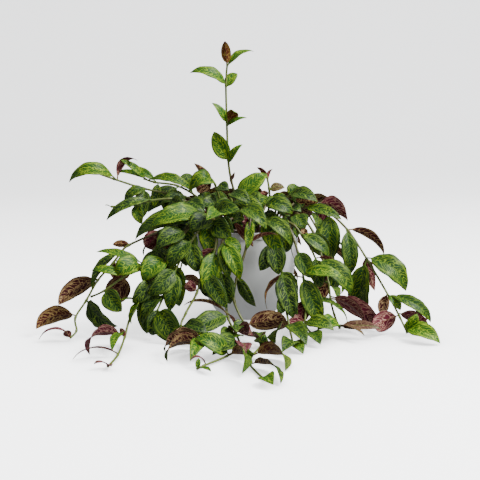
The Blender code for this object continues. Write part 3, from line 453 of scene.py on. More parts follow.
FACING = {
    "u": Vector((0, 0, 1)),
    "f": Vector((0, -1, 0)),
    "b": Vector((0, 1, 0)),
    "l": Vector((-1, 0, 0)),
    "r": Vector((1, 0, 0)),
}


def linear(code: str) -> tuple[float, float, float, float]:
    """The linear colour of an sRGB hex code."""
    channels = [int(code[i:i + 2], 16) / 255 for i in (1, 3, 5)]
    return (*[c / 12.92 if c <= 0.04045 else ((c + 0.055) / 1.055) ** 2.4 for c in channels], 1.0)


def add(tree: bpy.types.NodeTree, kind: str, inputs: dict | None = None, **settings) -> bpy.types.Node:
    """Add a node with its settings, and set or link its inputs.

    Args:
        tree: the tree that the node goes in.
        kind: the node's type name.
        inputs: input name or index to a plain value, a colour's hex code, a socket, or a node,
            whose first output is linked.
        settings: the node's own properties.

    Returns:
        The new node.
    """
    made = tree.nodes.new(kind)
    for name, value in settings.items():
        setattr(made, name, value)
    for key, value in (inputs or {}).items():
        if isinstance(value, bpy.types.Node):
            value = value.outputs[0]
        if isinstance(value, bpy.types.NodeSocket):
            tree.links.new(value, made.inputs[key])
        else:
            is_colour = isinstance(value, str) and value.startswith("#")
            made.inputs[key].default_value = linear(value) if is_colour else value
    return made


def smoothstep(low: float, high: float, value: np.ndarray) -> np.ndarray:
    """A smooth rise from 0 at low to 1 at high."""
    t = np.clip((value - low) / (high - low), 0.0, 1.0)
    return t * t * (3 - 2 * t)


class Finish:
    """A surface finish; each kind says what drives its shader."""

    name: str

    def inputs(self, tree: bpy.types.NodeTree) -> dict:
        """What drives the surface shader.

        Args:
            tree: the material's tree, which takes the nodes.

        Returns:
            Input name to a value, a socket or a node.
        """
        raise NotImplementedError

    def material(self) -> bpy.types.Material:
        """Build the material.

        Returns:
            The new material.
        """
        made = bpy.data.materials.new(self.name)
        made.use_nodes = True
        tree = made.node_tree
        tree.nodes.clear()
        shader = add(tree, "ShaderNodeBsdfPrincipled", self.inputs(tree))
        add(tree, "ShaderNodeOutputMaterial", {0: shader})
        return made


@dataclass(frozen=True)
class MottledFace(Finish):
    """One face of a fleshy leaf: a waxy skin over dark patches in a pale net.

    The net's meshes lie along the side veins, about 5 by 8 mm. On the real leaf its lines are
    under a millimetre wide; they are drawn a little wider, so that they show.
    """

    name: str
    patch: str
    patch_light: str
    net: str
    fresh_patch: str
    fresh_net: str
    pink_patch: str
    pink_net: str
    midrib: str
    petiole: str
    roughness: float
    gleam: float
    net_reach: float
    blotched: bool = False
    mesh_mm: tuple[float, float] = (4.6, 8.0)
    vein_slant: float = 0.75
    vein_curl: float = 0.9
    half_shift: float = 13.7
    leaf_shift: float = 1.7
    wobble_per_mm: float = 0.22
    wobble_push: float = 1.5
    unevenness: float = 0.85
    net_core: float = 0.03
    patchy_per_mm: float = 0.07
    patchy: tuple[float, float] = (0.35, 0.6)
    faintest_net: float = 0.45
    contour_at: float = 0.74
    contour_band: tuple[float, float] = (0.02, 0.1)
    contour_weight: float = 0.55
    grain_per_mm: float = 0.3
    blush: tuple[float, float] = (0.2, 0.9)
    rib_mm: tuple[float, float] = (0.3, 0.9)
    rib_weight: float = 0.45
    relief_mm: float = 0.35
    relief_strength: float = 0.35
    puff_reach: float = 0.35
    gloss_grain: tuple[float, float] = (0.3, 0.7)
    gloss_spread: tuple[float, float] = (-0.06, 0.08)
    ior: float = 1.4

    def inputs(self, tree: bpy.types.NodeTree) -> dict:
        """What drives the shader, from the leaf's own place and tone attributes.

        Args:
            tree: the material's tree, which takes the nodes.

        Returns:
            Input name to a value, a socket or a node.
        """
        where, tone, place = (add(tree, "ShaderNodeAttribute", attribute_name=name).outputs["Vector"]
                              for name in ("leaf_mm", "leaf_tone", "leaf_place"))
        along, across, seed = add(tree, "ShaderNodeSeparateXYZ", {0: where}).outputs
        freshness, maroon, pinkness = add(tree, "ShaderNodeSeparateXYZ", {0: tone}).outputs
        _, sideways, on_petiole = add(tree, "ShaderNodeSeparateXYZ", {0: place}).outputs
        away = add(tree, "ShaderNodeMath", {0: across}, operation="ABSOLUTE")
        hand = add(tree, "ShaderNodeMath", {0: across}, operation="SIGN")

        # Along a side vein the first coordinate stays the same
        outward = add(tree, "ShaderNodeMath", {0: sideways}, operation="ABSOLUTE")
        squared = add(tree, "ShaderNodeMath", {0: outward, 1: outward}, operation="MULTIPLY")
        lean = add(tree, "ShaderNodeMath", {0: squared, 1: self.vein_curl, 2: self.vein_slant},
                   operation="MULTIPLY_ADD")
        slant = add(tree, "ShaderNodeMath", {0: away, 1: lean}, operation="MULTIPLY")
        vein = add(tree, "ShaderNodeMath", {0: along, 1: slant}, operation="SUBTRACT")
        across_net = add(tree, "ShaderNodeMath", {0: vein, 1: self.mesh_mm[0]}, operation="DIVIDE")
        along_net = add(tree, "ShaderNodeMath", {0: away, 1: self.mesh_mm[1]}, operation="DIVIDE")
        shift = add(tree, "ShaderNodeMath", {0: hand, 1: self.half_shift, 2: seed},
                    operation="MULTIPLY_ADD")
        net_x = add(tree, "ShaderNodeMath", {0: across_net, 1: shift}, operation="ADD")
        net_y = add(tree, "ShaderNodeMath", {0: seed, 1: self.leaf_shift, 2: along_net},
                    operation="MULTIPLY_ADD")
        flat = add(tree, "ShaderNodeCombineXYZ", {0: net_x, 1: net_y})
        wobble = add(tree, "ShaderNodeTexNoise", {"Vector": where, "Scale": self.wobble_per_mm,
                                                  "Detail": 2.0}).outputs["Color"]
        centred = add(tree, "ShaderNodeVectorMath", {0: wobble, 1: (0.5, 0.5, 0.5)},
                      operation="SUBTRACT")
        push = add(tree, "ShaderNodeVectorMath", {0: centred, "Scale": self.wobble_push},
                   operation="SCALE")
        warped = add(tree, "ShaderNodeVectorMath", {0: flat, 1: push}, operation="ADD")
        cells = add(tree, "ShaderNodeTexVoronoi", {"Vector": warped, "Scale": 1.0,
                                                   "Randomness": self.unevenness},
                    feature="DISTANCE_TO_EDGE", voronoi_dimensions="2D").outputs["Distance"]
        threads = add(tree, "ShaderNodeMapRange", {0: cells, 1: self.net_core, 2: self.net_reach,
                                                   3: 1.0, 4: 0.0}, interpolation_type="SMOOTHSTEP")
        clouds = add(tree, "ShaderNodeTexNoise", {"Vector": where, "Scale": self.patchy_per_mm})
        strength = add(tree, "ShaderNodeMapRange", {0: clouds, 1: self.patchy[0], 2: self.patchy[1],
                                                    3: self.faintest_net, 4: 1.0})
        # One pale vein runs round the blade inside its margin
        off_contour = add(tree, "ShaderNodeMath", {0: outward, 1: self.contour_at},
                          operation="SUBTRACT")
        near_contour = add(tree, "ShaderNodeMath", {0: off_contour}, operation="ABSOLUTE")
        contour = add(tree, "ShaderNodeMapRange",
                      {0: near_contour, 1: self.contour_band[0], 2: self.contour_band[1],
                       3: self.contour_weight, 4: 0.0}, interpolation_type="SMOOTHSTEP")
        lines = add(tree, "ShaderNodeMath", {0: threads, 1: contour}, operation="MAXIMUM")
        web = add(tree, "ShaderNodeMath", {0: lines, 1: strength}, operation="MULTIPLY")
        grain = add(tree, "ShaderNodeTexNoise", {"Vector": where, "Scale": self.grain_per_mm,
                                                 "Detail": 3.0})
        # Less maroon leaves have a greener net between the blotches
        bare = 0.0
        if self.blotched:
            bare = add(tree, "ShaderNodeMath", {0: 1.0, 1: maroon}, operation="SUBTRACT")
        pairs = ((grain, self.patch, self.patch_light),
                 (bare, self.net, self.fresh_net),
                 (web, self.fresh_patch, self.fresh_net),
                 (web, self.pink_patch, self.pink_net),
                 (grain, self.petiole, self.midrib))
        patch, net, fresh, pink, stalk = (
            add(tree, "ShaderNodeMix", {0: weight, 6: first, 7: second}, data_type="RGBA").outputs[2]
            for weight, first, second in pairs)
        blush = add(tree, "ShaderNodeMapRange", {0: pinkness, 1: self.blush[0], 2: self.blush[1]})
        rib = add(tree, "ShaderNodeMapRange", {0: away, 1: self.rib_mm[0], 2: self.rib_mm[1],
                                               3: self.rib_weight, 4: 0.0},
                  interpolation_type="SMOOTHSTEP")
        colour = patch
        for weight, over in ((web, net), (freshness, fresh), (blush, pink), (rib, self.midrib),
                             (on_petiole, stalk)):
            colour = add(tree, "ShaderNodeMix", {0: weight, 6: colour, 7: over},
                         data_type="RGBA").outputs[2]

        # The patches stand up a little between the sunk threads of the net
        puff = add(tree, "ShaderNodeMapRange", {0: cells, 1: 0.0, 2: self.puff_reach},
                   interpolation_type="SMOOTHSTEP")
        bump = add(tree, "ShaderNodeBump", {"Strength": self.relief_strength,
                                            "Distance": self.relief_mm * MM, "Height": puff})
        gloss = add(tree, "ShaderNodeMapRange",
                    {0: grain, 1: self.gloss_grain[0], 2: self.gloss_grain[1],
                     3: self.roughness + self.gloss_spread[0],
                     4: self.roughness + self.gloss_spread[1]})
        return {"Base Color": colour, "Roughness": gloss, "IOR": self.ior,
                "Specular IOR Level": self.gleam, "Normal": bump}


# Living leaf, upper side: a thick waxy cuticle that gives a soft, wide gleam
UPPER_FACE = MottledFace(
    name="waxy_leaf_upper_side", patch="#081A08", patch_light="#163414", net="#708C2C",
    fresh_patch="#285812", fresh_net="#A2BE26", pink_patch="#622234", pink_net="#966468",
    midrib="#4F7424", petiole="#566826", roughness=0.46, gleam=0.3, net_reach=0.1)

# Living leaf, lower side: duller skin, maroon blotches in a tan net round a pale raised midrib
LOWER_FACE = MottledFace(
    name="matt_leaf_lower_side", patch="#2E0910", patch_light="#44141C", net="#BC9E70",
    fresh_patch="#5A2A1A", fresh_net="#A88C40", pink_patch="#5E1C2E", pink_net="#BC8E80",
    midrib="#8C6A48", petiole="#5E4A24", roughness=0.5, gleam=0.14, net_reach=0.12,
    blotched=True, mesh_mm=(5.6, 8.5))


@dataclass(frozen=True)
class StemBark(Finish):
    """Soft stem skin: green where it is young, browner and finely streaked towards its root."""

    name: str = "soft_stem_skin"
    young: str = "#6A7A30"
    old: str = "#46351A"
    streak: str = "#35461A"
    mottle_mm: float = 6.4
    mottle_share: float = 0.9
    ages: tuple[float, float] = (0.55, 1.15)
    streak_mm: float = 1.6
    streaked: tuple[float, float] = (0.5, 0.68)
    streak_weight: float = 0.22
    relief_mm: float = 0.2
    relief_strength: float = 0.3
    roughness: float = 0.5

    def inputs(self, tree: bpy.types.NodeTree) -> dict:
        """What drives the shader, from the stem's own length attribute.

        Args:
            tree: the material's tree, which takes the nodes.

        Returns:
            Input name to a value, a socket or a node.
        """
        place = add(tree, "ShaderNodeAttribute", attribute_name="leaf_place").outputs["Vector"]
        far = add(tree, "ShaderNodeSeparateXYZ", {0: place})
        spot = add(tree, "ShaderNodeTexCoord").outputs["Object"]
        mottle = add(tree, "ShaderNodeTexNoise", {"Vector": spot, "Scale": 1 / (self.mottle_mm * MM),
                                                  "Detail": 3.0})
        age = add(tree, "ShaderNodeMath", {0: mottle, 1: self.mottle_share, 2: far},
                  operation="MULTIPLY_ADD")
        turn = add(tree, "ShaderNodeMapRange", {0: age, 1: self.ages[0], 2: self.ages[1]})
        base = add(tree, "ShaderNodeMix", {0: turn, 6: self.old, 7: self.young}, data_type="RGBA")
        fine = add(tree, "ShaderNodeTexNoise", {"Vector": spot, "Scale": 1 / (self.streak_mm * MM),
                                                "Detail": 2.0})
        lines = add(tree, "ShaderNodeMapRange", {0: fine, 1: self.streaked[0], 2: self.streaked[1],
                                                 3: 0.0, 4: self.streak_weight})
        colour = add(tree, "ShaderNodeMix", {0: lines, 6: base.outputs[2], 7: self.streak},
                     data_type="RGBA")
        bump = add(tree, "ShaderNodeBump", {"Strength": self.relief_strength,
                                            "Distance": self.relief_mm * MM, "Height": fine})
        return {"Base Color": colour.outputs[2], "Roughness": self.roughness, "Normal": bump}


@dataclass(frozen=True)
class MouldedPlastic(Finish):
    """Injection-moulded polypropylene, white and satin, with a film of dust near its foot."""

    name: str = "white_moulded_polypropylene"
    white: str = "#F3F5F4"
    shade: str = "#E8EBEA"
    shade_mm: float = 45.0
    dust: str = "#A99C88"
    dusty_mm: float = 9.0
    dust_weight: float = 0.5
    speck_mm: float = 5.0
    orange_peel_mm: float = 1.4
    peel_depth_mm: float = 0.05
    peel_strength: float = 0.12
    roughness: float = 0.36
    gloss_spread: tuple[float, float] = (-0.05, 0.1)
    ior: float = 1.49

    def inputs(self, tree: bpy.types.NodeTree) -> dict:
        """What drives the shader, from the pot's own coordinates.

        Args:
            tree: the material's tree, which takes the nodes.

        Returns:
            Input name to a value, a socket or a node.
        """
        spot = add(tree, "ShaderNodeTexCoord").outputs["Object"]
        cloud = add(tree, "ShaderNodeTexNoise", {"Vector": spot, "Scale": 1 / (self.shade_mm * MM),
                                                 "Detail": 2.0})
        white = add(tree, "ShaderNodeMix", {0: cloud, 6: self.white, 7: self.shade}, data_type="RGBA")
        height = add(tree, "ShaderNodeSeparateXYZ", {0: spot}).outputs[2]
        low = add(tree, "ShaderNodeMapRange", {0: height, 1: 0.0, 2: self.dusty_mm * MM,
                                               3: self.dust_weight, 4: 0.0},
                  interpolation_type="SMOOTHSTEP")
        specks = add(tree, "ShaderNodeTexNoise", {"Vector": spot, "Scale": 1 / (self.speck_mm * MM),
                                                  "Detail": 4.0})
        film = add(tree, "ShaderNodeMath", {0: low, 1: specks}, operation="MULTIPLY")
        colour = add(tree, "ShaderNodeMix", {0: film, 6: white.outputs[2], 7: self.dust},
                     data_type="RGBA")
        peel = add(tree, "ShaderNodeTexNoise", {"Vector": spot, "Scale": 1 / (self.orange_peel_mm * MM)})
        bump = add(tree, "ShaderNodeBump", {"Strength": self.peel_strength,
                                            "Distance": self.peel_depth_mm * MM, "Height": peel})
        gloss = add(tree, "ShaderNodeMapRange", {0: cloud, 3: self.roughness + self.gloss_spread[0],
                                                 4: self.roughness + self.gloss_spread[1]})
        return {"Base Color": colour.outputs[2], "Roughness": gloss, "IOR": self.ior, "Normal": bump}


@dataclass(frozen=True)
class LooseGrains(Finish):
    """Loose mineral or peat grains: two tones broken by a noise, with a dull rough surface."""

    name: str
    dark: str
    light: str
    grain_mm: float
    roughness: float = 0.95
    lumpiness: float = 0.7
    split: tuple[float, float] = (0.35, 0.65)
    relief_mm: float = 0.6
    relief_strength: float = 0.7

    def inputs(self, tree: bpy.types.NodeTree) -> dict:
        """What drives the shader, from the piece's own coordinates.

        Args:
            tree: the material's tree, which takes the nodes.

        Returns:
            Input name to a value, a socket or a node.
        """
        spot = add(tree, "ShaderNodeTexCoord").outputs["Object"]
        lumps = add(tree, "ShaderNodeTexNoise", {"Vector": spot, "Scale": 1 / (self.grain_mm * MM),
                                                 "Detail": 5.0, "Roughness": self.lumpiness})
        split = add(tree, "ShaderNodeMapRange", {0: lumps, 1: self.split[0], 2: self.split[1]})
        colour = add(tree, "ShaderNodeMix", {0: split, 6: self.dark, 7: self.light}, data_type="RGBA")
        bump = add(tree, "ShaderNodeBump", {"Strength": self.relief_strength,
                                            "Distance": self.relief_mm * MM, "Height": lumps})
        return {"Base Color": colour.outputs[2], "Roughness": self.roughness, "Normal": bump}


# Damp peat with fine bark: nearly black brown, no gleam
PEAT = LooseGrains("damp_peat_mix", "#1C140E", "#3E2E20", 4.0)
# Expanded perlite: off-white, chalky
PERLITE = LooseGrains("expanded_perlite", "#BDB9AC", "#E2DFD4", 1.5, 0.9)


def linked(name: str, data: bpy.types.ID) -> bpy.types.Object:
    """Make an object and link it to the scene.

    Args:
        name: the object's name.
        data: its mesh, light or camera.

    Returns:
        The new object.
    """
    made = bpy.data.objects.new(name, data)
    bpy.context.scene.collection.objects.link(made)
    return made


def piece(name: str, mesh: bpy.types.Mesh, materials: list[bpy.types.Material],
          replaced: str | None = None) -> bpy.types.Object:
    """Make a finished piece that rides on the part's one body.

    Args:
        name: the piece's name.
        mesh: its mesh, in the part's frame.
        materials: its material slots in order.
        replaced: the CAD node it stands for, if any.

    Returns:
        The new object.
    """
    # Clearing the slots sets every face to the first one, so the faces' slots are kept aside
    slots = np.zeros(len(mesh.polygons), dtype=np.int32)
    mesh.polygons.foreach_get("material_index", slots)
    mesh.materials.clear()
    for material in materials:
        mesh.materials.append(material)
    mesh.polygons.foreach_set("material_index", np.minimum(slots, len(materials) - 1))
    made = linked(name, mesh)
    if replaced:
        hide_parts(replaced)
    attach(made, "root")
    log.info("%s: %d faces", name, len(mesh.polygons))
    return made


def evaluated_mesh(thing: bpy.types.Object) -> bpy.types.Mesh:
    """The object's mesh with its modifiers applied; the object is removed.

    Args:
        thing: the object, linked to the scene.

    Returns:
        The evaluated mesh, on its own.
    """
    bpy.context.view_layer.update()
    source = thing.evaluated_get(bpy.context.evaluated_depsgraph_get())
    mesh = bpy.data.meshes.new_from_object(source)
    bpy.data.objects.remove(thing, do_unlink=True)
    return mesh


def socket_id(tree: bpy.types.NodeTree, name: str) -> str:
    """The identifier of a tree's input, by its name."""
    return next(item.identifier for item in tree.interface.items_tree
                if item.item_type == "SOCKET" and item.in_out == "INPUT" and item.name == name)


def run_tree(tree: bpy.types.NodeTree, mesh: bpy.types.Mesh, values: dict) -> bpy.types.Mesh:
    """Run a geometry tree on a mesh and return the plain result.

    Args:
        tree: the geometry tree.
        mesh: the mesh that goes in.
        values: input name to value.

    Returns:
        The mesh that comes out.
    """
    holder = linked("holder", mesh)
    modifier = holder.modifiers.new("tree", "NODES")
    modifier.node_group = tree
    for name, value in values.items():
        modifier[socket_id(tree, name)] = value
    return evaluated_mesh(holder)


@dataclass
class TreeMaker:
    """Builds the two geometry trees that the plant uses."""

    full_turn: float = 6.3
    flattest: tuple[float, float, float] = (0.6, 0.45, 0.4)
    fullest: tuple[float, float, float] = (1.3, 1.0, 0.8)

    def start(self, name: str, takes: dict[str, str]) -> tuple[bpy.types.NodeTree, object]:
        """A new geometry tree with its inputs and its one output.

        Args:
            name: the tree's name.
            takes: input name to kind of socket.

        Returns:
            The tree, and the sockets that bring its inputs in.
        """
        tree = bpy.data.node_groups.new(name, "GeometryNodeTree")
        for label, kind in takes.items():
            tree.interface.new_socket(label, in_out="INPUT", socket_type="NodeSocket" + kind)
        tree.interface.new_socket("Made", in_out="OUTPUT", socket_type="NodeSocketGeometry")
        return tree, add(tree, "NodeGroupInput").outputs

    def end(self, tree: bpy.types.NodeTree, body: bpy.types.Node, skin: bpy.types.NodeSocket) -> None:
        """End a tree with real geometry in one material.

        Args:
            tree: the tree.
            body: the node that makes the geometry.
            skin: the socket that brings the material in.
        """
        real = add(tree, "GeometryNodeRealizeInstances", {0: body})
        coated = add(tree, "GeometryNodeSetMaterial", {0: real, "Material": skin})
        add(tree, "NodeGroupOutput", {0: coated})

    def tube(self) -> bpy.types.NodeTree:
        """A tree that turns a line of points with a radius attribute into a closed round stem.

        Returns:
            The geometry tree; its inputs are Path, Sides and Skin.
        """
        tree, given = self.start("stem_along_path", {"Path": "Geometry", "Sides": "Int",
                                                     "Skin": "Material"})
        line = add(tree, "GeometryNodeMeshToCurve", {0: given["Path"]})
        radius = add(tree, "GeometryNodeInputNamedAttribute", {"Name": "stem_radius"},
                     data_type="FLOAT")
        ring = add(tree, "GeometryNodeCurvePrimitiveCircle", {"Resolution": given["Sides"],
                                                              "Radius": 1.0})
        body = add(tree, "GeometryNodeCurveToMesh", {"Curve": line, "Profile Curve": ring,
                                                     "Scale": radius, "Fill Caps": True})
        self.end(tree, body, given["Skin"])
        return tree

    def scatter(self) -> bpy.types.NodeTree:
        """A tree that strews small irregular grains over the faces of a mesh.

        Returns:
            The geometry tree; its inputs are Surface, Density, Smallest, Largest, Seed and Grain.
        """
        tree, given = self.start("grains_on_surface",
                                 {"Surface": "Geometry", "Density": "Float", "Smallest": "Float",
                                  "Largest": "Float", "Seed": "Int", "Grain": "Material"})
        points = add(tree, "GeometryNodeDistributePointsOnFaces",
                     {"Mesh": given["Surface"], "Density": given["Density"], "Seed": given["Seed"]})
        ball = add(tree, "GeometryNodeMeshIcoSphere", {"Radius": 1.0, "Subdivisions": 1})
        turn = add(tree, "FunctionNodeRandomValue",
                   {0: (0.0, 0.0, 0.0), 1: (self.full_turn,) * 3, "Seed": given["Seed"]},
                   data_type="FLOAT_VECTOR")
        size = add(tree, "FunctionNodeRandomValue",
                   {2: given["Smallest"], 3: given["Largest"], "Seed": given["Seed"]},
                   data_type="FLOAT")
        squash = add(tree, "FunctionNodeRandomValue", {0: self.flattest, 1: self.fullest},
                     data_type="FLOAT_VECTOR")
        scale = add(tree, "ShaderNodeVectorMath", {0: squash, "Scale": size.outputs[1]},
                    operation="SCALE")
        grains = add(tree, "GeometryNodeInstanceOnPoints",
                     {"Points": points, "Instance": ball, "Rotation": turn, "Scale": scale})
        self.end(tree, grains, given["Grain"])
        return tree


@dataclass
class LeafBlade:
    """One leaf: a bent midrib, a folded and slightly waved blade, a round petiole, a drawn-out tip."""

    base: Vector
    leaf: Leaf
    turn: float
    tilt: float
    size: float
    draw: random.Random

    petiole_share: float = 0.1
    petiole_mm: float = 1.9
    petiole_slimming: float = 0.7
    rise: float = 0.64
    fall: float = 1.0
    blade_share: float = 0.94
    fold: float = 0.31
    fold_round_mm: float = 2.2
    blade_mm: float = 0.75
    rim_thinning: float = 0.35
    ridge_mm: float = 0.75
    ridge_half_mm: float = 1.0
    ridge_fading: float = 0.6
    ridge_above: float = 0.35
    least_facing: float = 0.15
    least_reach: float = 0.0001
    root_sunk_mm: float = 0.4
    most_grown: float = 1.2
    waves_mm: tuple[float, float] = (0.3, 1.1)
    wave_half_mm: float = 14
    wave_lengths_mm: tuple[float, float] = (13, 22)
    wave_power: float = 2.2
    recurves: tuple[float, float] = (0.02, 0.16)
    recurve_power: int = 4
    curls_mm: tuple[float, float] = (1.0, 4.5)
    curl_half_mm: float = 12
    curl_from: float = 0.72
    twists: tuple[float, float] = (-16, 16)
    twist_power: float = 1.6
    seeds: tuple[float, float] = (0, 60)
    row_mm: float = 2.6
    row_counts: tuple[int, int] = (12, 30)
    stalk_rows: int = 5
    stalk_past: float = 0.02
    blade_past: float = 0.05
    blade_to: float = 0.97
    last_row: float = 0.99
    blend_from: float = 0.6
    blend_past: float = 0.08
    bend_at: tuple[float, float] = (0.28, 0.74)
    across: tuple[float, ...] = (-1, -0.95, -0.8, -0.55, -0.28, -0.09, 0, 0.09, 0.28, 0.55, 0.8,
                                 0.95, 1)

    def reach(self) -> Vector:
        """The way from the leaf's base to its tip, turned as its solid was.

        Returns:
            The vector in metres.
        """
        way = Vector((self.leaf.dx, self.leaf.dy, self.leaf.dz)) * MM * self.size
        way.rotate(Matrix.Rotation(math.radians(self.turn), 3, "Z"))
        level = Vector((way.x, way.y, 0))
        if level.length > self.least_reach:
            axis = level.cross(Vector((0, 0, 1))).normalized()
            way.rotate(Matrix.Rotation(math.radians(self.tilt), 3, axis))
        return way

    def look(self, chord: Vector) -> Vector:
        """The way the upper side looks, square to the chord.

        Args:
            chord: the unit vector from the leaf's base to its tip.

        Returns:
            A unit vector.
        """
        way = sum((FACING[letter] for letter in self.leaf.face), Vector())
        way -= chord * way.dot(chord)
        if way.length < self.least_facing:
            way = FACING["u"] + FACING["f"] * self.least_facing
            way -= chord * way.dot(chord)
        return way.normalized()

    def shape(self) -> None:
        """Work out the control points, and draw how this leaf differs from the next."""
        reach = self.reach()
        chord = reach.normalized()
        look = self.look(chord)
        self.length = reach.length
        self.side = np.array(chord.cross(look).normalized())
        self.half_mm = self.leaf.width * self.blade_share * self.size / 2
        # The middle of the curve rises three quarters as far as its two middle controls
        rise = look * self.leaf.bow * MM * self.size * 4 / 3
        controls = (self.base - chord * self.root_sunk_mm * MM,
                    self.base + reach * self.bend_at[0] + rise,
                    self.base + reach * self.bend_at[1] + rise, self.base + reach)
        self.controls = np.array([tuple(point) for point in controls])
        wavy, curly = (min(self.half_mm / full, self.most_grown)
                       for full in (self.wave_half_mm, self.curl_half_mm))
        self.wave_mm = self.draw.uniform(*self.waves_mm) * wavy
        self.wave_length_mm = self.draw.uniform(*self.wave_lengths_mm)
        self.wave_phases = (self.draw.uniform(0, math.tau), self.draw.uniform(0, math.tau))
        self.recurve = self.draw.uniform(*self.recurves)
        self.curl = self.draw.uniform(*self.curls_mm) * curly
        self.twist = math.radians(self.draw.uniform(*self.twists))
        self.seed = self.draw.uniform(*self.seeds)

    def tip(self) -> Vector:
        """Where the leaf's tip lies."""
        return self.base + self.reach()

    def line(self, s: np.ndarray) -> tuple[np.ndarray, np.ndarray]:
        """Points of the midrib and its unit tangents at shares of its length.

        Args:
            s: shares of the length, from 0 at the base to 1 at the tip.

        Returns:
            The points in metres and the tangents, a row of each for every share.
        """
        a, b, c, d = self.controls
        r, t = 1 - s[:, None], s[:, None]
        points = a * r ** 3 + b * 3 * r * r * t + c * 3 * r * t * t + d * t ** 3
        ways = (b - a) * r * r + (c - b) * 2 * r * t + (d - c) * t * t
        return points, ways / np.linalg.norm(ways, axis=1, keepdims=True)

    def half_width(self, s: np.ndarray) -> np.ndarray:
        """Half the leaf's width in mm: petiole, belly, drawn-out tip.

        Args:
            s: shares of the length, from 0 at the base to 1 at the tip.

        Returns:
            A half width for every share.
        """
        u = np.clip((s - self.petiole_share) / (1 - self.petiole_share), 0, 1)
        peak = self.rise / (self.rise + self.fall)
        belly = (u / peak) ** self.rise * ((1 - u) / (1 - peak)) ** self.fall
        least = self.petiole_mm / 2 * (1 - u) ** self.petiole_slimming
        return np.maximum(self.half_mm * belly, least)

    def rows(self) -> np.ndarray:
        """Shares of the length at which the leaf has a ring of points.

        Returns:
            The shares, closer together over the petiole and at the tip.
        """
        count = int(np.clip(self.length / MM / self.row_mm, *self.row_counts))
        stalk = np.linspace(0, self.petiole_share + self.stalk_past, self.stalk_rows)
        blade = np.linspace(self.petiole_share + self.blade_past, self.blade_to, count)
        return np.concatenate((stalk, blade, (self.last_row,)))

    def rings(self) -> tuple[np.ndarray, np.ndarray, np.ndarray]:
        """The leaf's closed rings of points.

        Returns:
            Points (rows, ring, 3) in metres; place in mm (along, across, seed); and
            shares (along, across, petiole).
        """
        s = self.rows()
        centres, ways = self.line(s)
        turn = (self.twist * s ** self.twist_power)[:, None]
        flat_up = np.cross(self.side, ways)
        side = self.side * np.cos(turn) + flat_up * np.sin(turn)
        up = np.cross(side, ways)
        half = self.half_width(s)
        a = np.array(self.across)
        over = np.concatenate((a, a[-2:0:-1]))
        upper = np.concatenate((np.ones(len(a)), -np.ones(len(a) - 2)))
        upper[[0, len(a) - 1]] = 0
        reach = half[:, None] * over
        blade = smoothstep(self.petiole_share * self.blend_from, self.petiole_share + self.blend_past,
                           s)[:, None]
        along = s[:, None] * self.length / MM
        phase = np.where(over < 0, *self.wave_phases)
        wave = np.sin(along / self.wave_length_mm * math.tau + phase)
        swing = self.wave_mm * wave * np.abs(over) ** self.wave_power * np.sin(math.pi * s)[:, None]
        round_mm = self.fold_round_mm
        lift = self.fold * (np.sqrt(reach ** 2 + round_mm ** 2) - round_mm)
        lift = lift - self.recurve * half[:, None] * np.abs(over) ** self.recurve_power + swing
        rim = np.sqrt(np.clip(1 - over ** 2, 0, 1))
        thick = blade * self.blade_mm * (1 - self.rim_thinning * over ** 2)
        thick = thick + (1 - blade) * self.petiole_mm * rim
        ridge = np.exp(-(reach / self.ridge_half_mm) ** 2) * blade * (1 - s[:, None]) ** self.ridge_fading
        hook = np.clip((s - self.curl_from) / (1 - self.curl_from), 0, 1)[:, None] ** 2
        height = lift * blade + upper * thick / 2 - self.curl * hook
        height = height - np.where(upper < 0, ridge * self.ridge_mm, 0)
        height = height - np.where(upper > 0, ridge * self.ridge_mm * self.ridge_above, 0)
        points = (centres[:, None, :] + side[:, None, :] * reach[:, :, None] * MM
                  + up[:, None, :] * height[:, :, None] * MM)
        place = np.stack(np.broadcast_arrays(along, reach, self.seed), axis=2)
        shares = np.stack(np.broadcast_arrays(s[:, None], over, 1 - blade), axis=2)
        return points, place, shares


